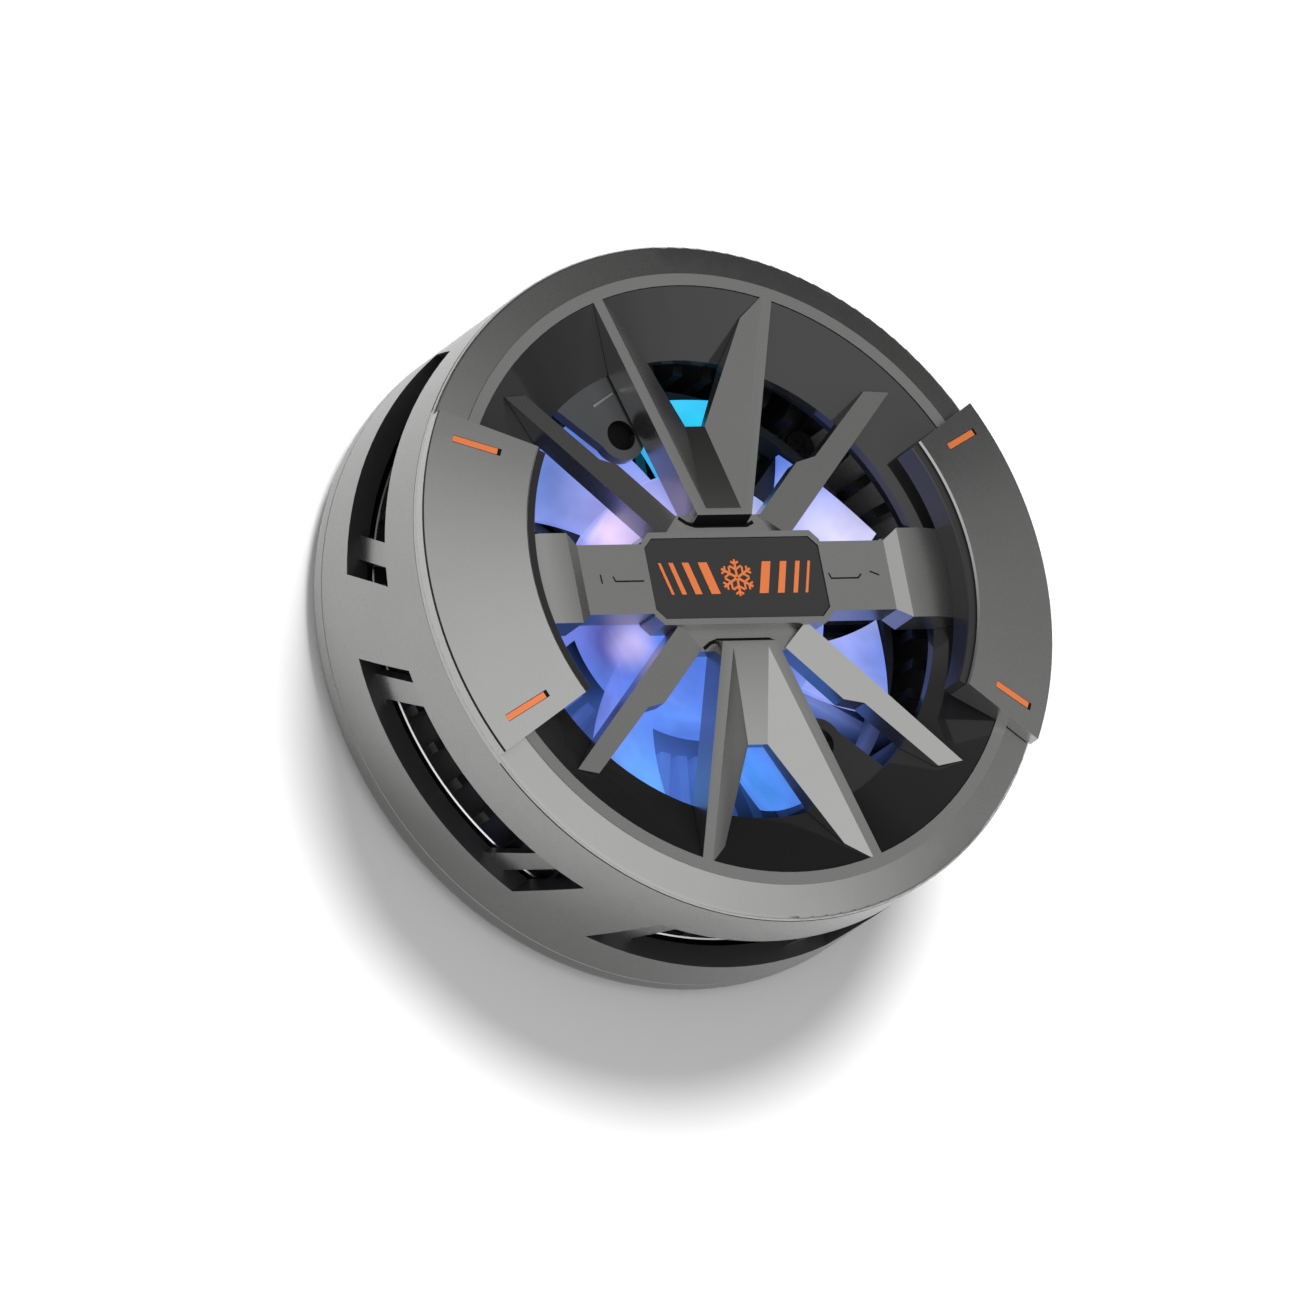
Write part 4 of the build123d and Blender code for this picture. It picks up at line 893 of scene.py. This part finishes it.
surrounds = wingBars("accentSurrounds", accents, accents["surround"], 0.0)
addPiece("accentSurrounds", surrounds, "paintedShadeBlack")
bars = wingBars("accentBars", accents, accents["bar"], accents["openEnd"])
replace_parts(addPiece("accentBars", bars, "accentOrange", edge=0.03), "accent_inserts")
print("trims and accents ready")

# bars: badge motif, and black strips for the marks cut in the arms, a painted shade of the cuts
def barMesh(name, bars):
    # each bar is a path p(i) with a half width w(i): corners p-w and p+w at its low and high level,
    # closed at both ends
    points, faces = [], []
    for path, half, low, high in bars:
        path, half = np.asarray(path, float), np.asarray(half, float)
        count = len(path)
        left, right = path - half, path + half
        ring = np.stack([left, right, right, left], axis=1)  # count x 4 x 2
        level = np.broadcast_to(np.array([low, low, high, high]), (count, 4))
        start = sum(len(p) for p in points)
        points.append(np.concatenate([ring, level[..., None]], axis=2).reshape(-1, 3))
        row, side = np.meshgrid(np.arange(count - 1), np.arange(4), indexing="ij")
        near, far = start + row * 4 + side, start + row * 4 + (side + 1) % 4
        faces += np.stack([near, far, far + 4, near + 4], axis=-1).reshape(-1, 4).tolist()
        last = start + (count - 1) * 4
        faces += [[start + 3, start + 2, start + 1, start], [last, last + 1, last + 2, last + 3]]
    mesh = bpy.data.meshes.new(name)
    mesh.from_pydata((np.concatenate(points) * mm).tolist(), [], faces)
    return closedMesh(mesh)


motif = dict(
    base=23.38,  # face of the badge plate, mm
    height=0.1,
    flakeRadius=1.85,
    flakeWidth=0.26,
    branchAt=(0.45, 0.75),
    branchLength=(0.75, 0.5),
    branchWidth=0.85,  # of the flake's width
    branchDrop=0.006,
    crossingLift=0.002,
    flakeMiddle=0.1,
    stripes=[(3.1, 1.0), (5.0, 0.75), (6.6, 0.5), (7.85, 0.3)],  # middle and width of each slanting bar
    stripeHeight=3.2,
    stripeLean=0.9,
)


def motifBars(v):
    # flake: arms at every 60 degrees with a pair of branches at shares of their length;
    # stripes lean away from it; lifts of a few microns keep crossing bars apart
    bars = []
    top = v["base"] + v["height"]

    def addBar(start, end, width, lift=0.0):
        along = (end - start) / np.linalg.norm(end - start)
        half = np.array([along[1], -along[0]]) * width / 2
        bars.append(([start, end], [half, half], v["base"], top + lift))

    for k in range(6):
        turn = np.radians(90 + 60 * k)
        way = np.array([np.cos(turn), np.sin(turn)])
        addBar(way * v["flakeMiddle"], way * v["flakeRadius"], v["flakeWidth"], v["crossingLift"] * k)
        for share, length in zip(v["branchAt"], v["branchLength"]):
            for lean in (-1, 1):
                out = np.array([np.cos(turn + lean * np.pi / 3), np.sin(turn + lean * np.pi / 3)])
                foot = way * v["flakeRadius"] * share
                lift = v["crossingLift"] * lean - v["branchDrop"]
                addBar(foot, foot + out * length, v["flakeWidth"] * v["branchWidth"], lift)
    for side in (-1, 1):
        for middle, width in v["stripes"]:
            lean = np.array([v["stripeLean"] / 2 * side, v["stripeHeight"] / 2])
            centre = np.array([middle * side, 0.0])
            half = np.array([width / 2, 0.0])
            bars.append(([centre - lean, centre + lean], [half, half], v["base"], top))
    return bars


addPiece("badgeMotif", barMesh("badgeMotif", motifBars(motif)), "accentOrange", edge=0.03)

# painted shade: black strips on the arms' face where the marks are cut
armMarks = dict(
    top=rimZ + 0.004,
    depth=0.02,
    width=0.16,
    lines=[
        [(-15.0, -0.4), (-15.05, 0.5)],
        [(-13.7, 0.3), (-13.5, -0.2), (-10.35, -0.2)],
        [(10.2, 0.3), (10.4, -0.25), (13.4, -0.25), (13.8, 0.15)],
        [(14.8, 0.4), (15.8, 0.0)],
    ],
)


def markBars(v):
    # a line's half width is its mitre: the normals of both runs added, over one plus their product
    bars = []
    for line in v["lines"]:
        path = np.array(line)
        runs = np.diff(path, axis=0)
        runs /= np.linalg.norm(runs, axis=1, keepdims=True)
        sides = np.stack([runs[:, 1], -runs[:, 0]], axis=1)
        before, after = np.vstack([sides[:1], sides]), np.vstack([sides, sides[-1:]])
        mitre = (before + after) / (1 + (before * after).sum(axis=1, keepdims=True))
        bars.append((path, mitre * v["width"] / 2, v["top"] - v["depth"], v["top"]))
    return bars


addPiece("armMarks", barMesh("armMarks", markBars(armMarks)), "paintedShadeBlack")

# painted shade: dark lines laid on the hub plate where the ribs' roots meet it
rootShadeLines = dict(
    top=22.012,  # hub plate's face and a little more
    depth=0.03,
    width=0.36,
    lines=[
        [(-4.3, -6.6), (-3.5, -6.05), (-2.6, -5.75), (3.1, -5.75), (3.9, -6.1)],
        [(-4.3, 6.6), (-3.5, 6.05), (-2.6, 5.75), (3.1, 5.75), (3.9, 6.1)],
    ],
)
addPiece("rootShadeLines", barMesh("rootShadeLines", markBars(rootShadeLines)), "paintedShadeBlack")

contacts = dict(
    turn=60.0,  # where the socket looks, in degrees
    pitch=0.5,
    count=12,
    width=0.26,
    inner=27.6,
    outer=31.3,
    levels=[(19.48, 19.545), (18.815, 18.88)],  # on the tongue's two faces
)


def contactBars(v):
    # bar k lies along the socket's direction, (k - middle) * pitch to its side
    turn = np.radians(v["turn"])
    along, across = np.array([np.cos(turn), np.sin(turn)]), np.array([-np.sin(turn), np.cos(turn)])
    half = across * v["width"] / 2
    bars = []
    for low, high in v["levels"]:
        for k in range(v["count"]):
            foot = across * (k - (v["count"] - 1) / 2) * v["pitch"]
            bars.append(([foot + along * v["inner"], foot + along * v["outer"]], [half, half], low, high))
    return bars


contactMesh = barMesh("socketContacts", contactBars(contacts))
addPiece("socketContacts", contactMesh, "contactGold", edge=0.015)

earRib = dict(
    top=20.32,
    depth=0.2,
    width=0.3,
    lines=[[(-10.1, 18.6), (-7.7, 19.9)]],
)
addPiece("earRib", barMesh("earRib", markBars(earRib)), "gunmetal", edge=0.05)
print("badge motif and marks ready")
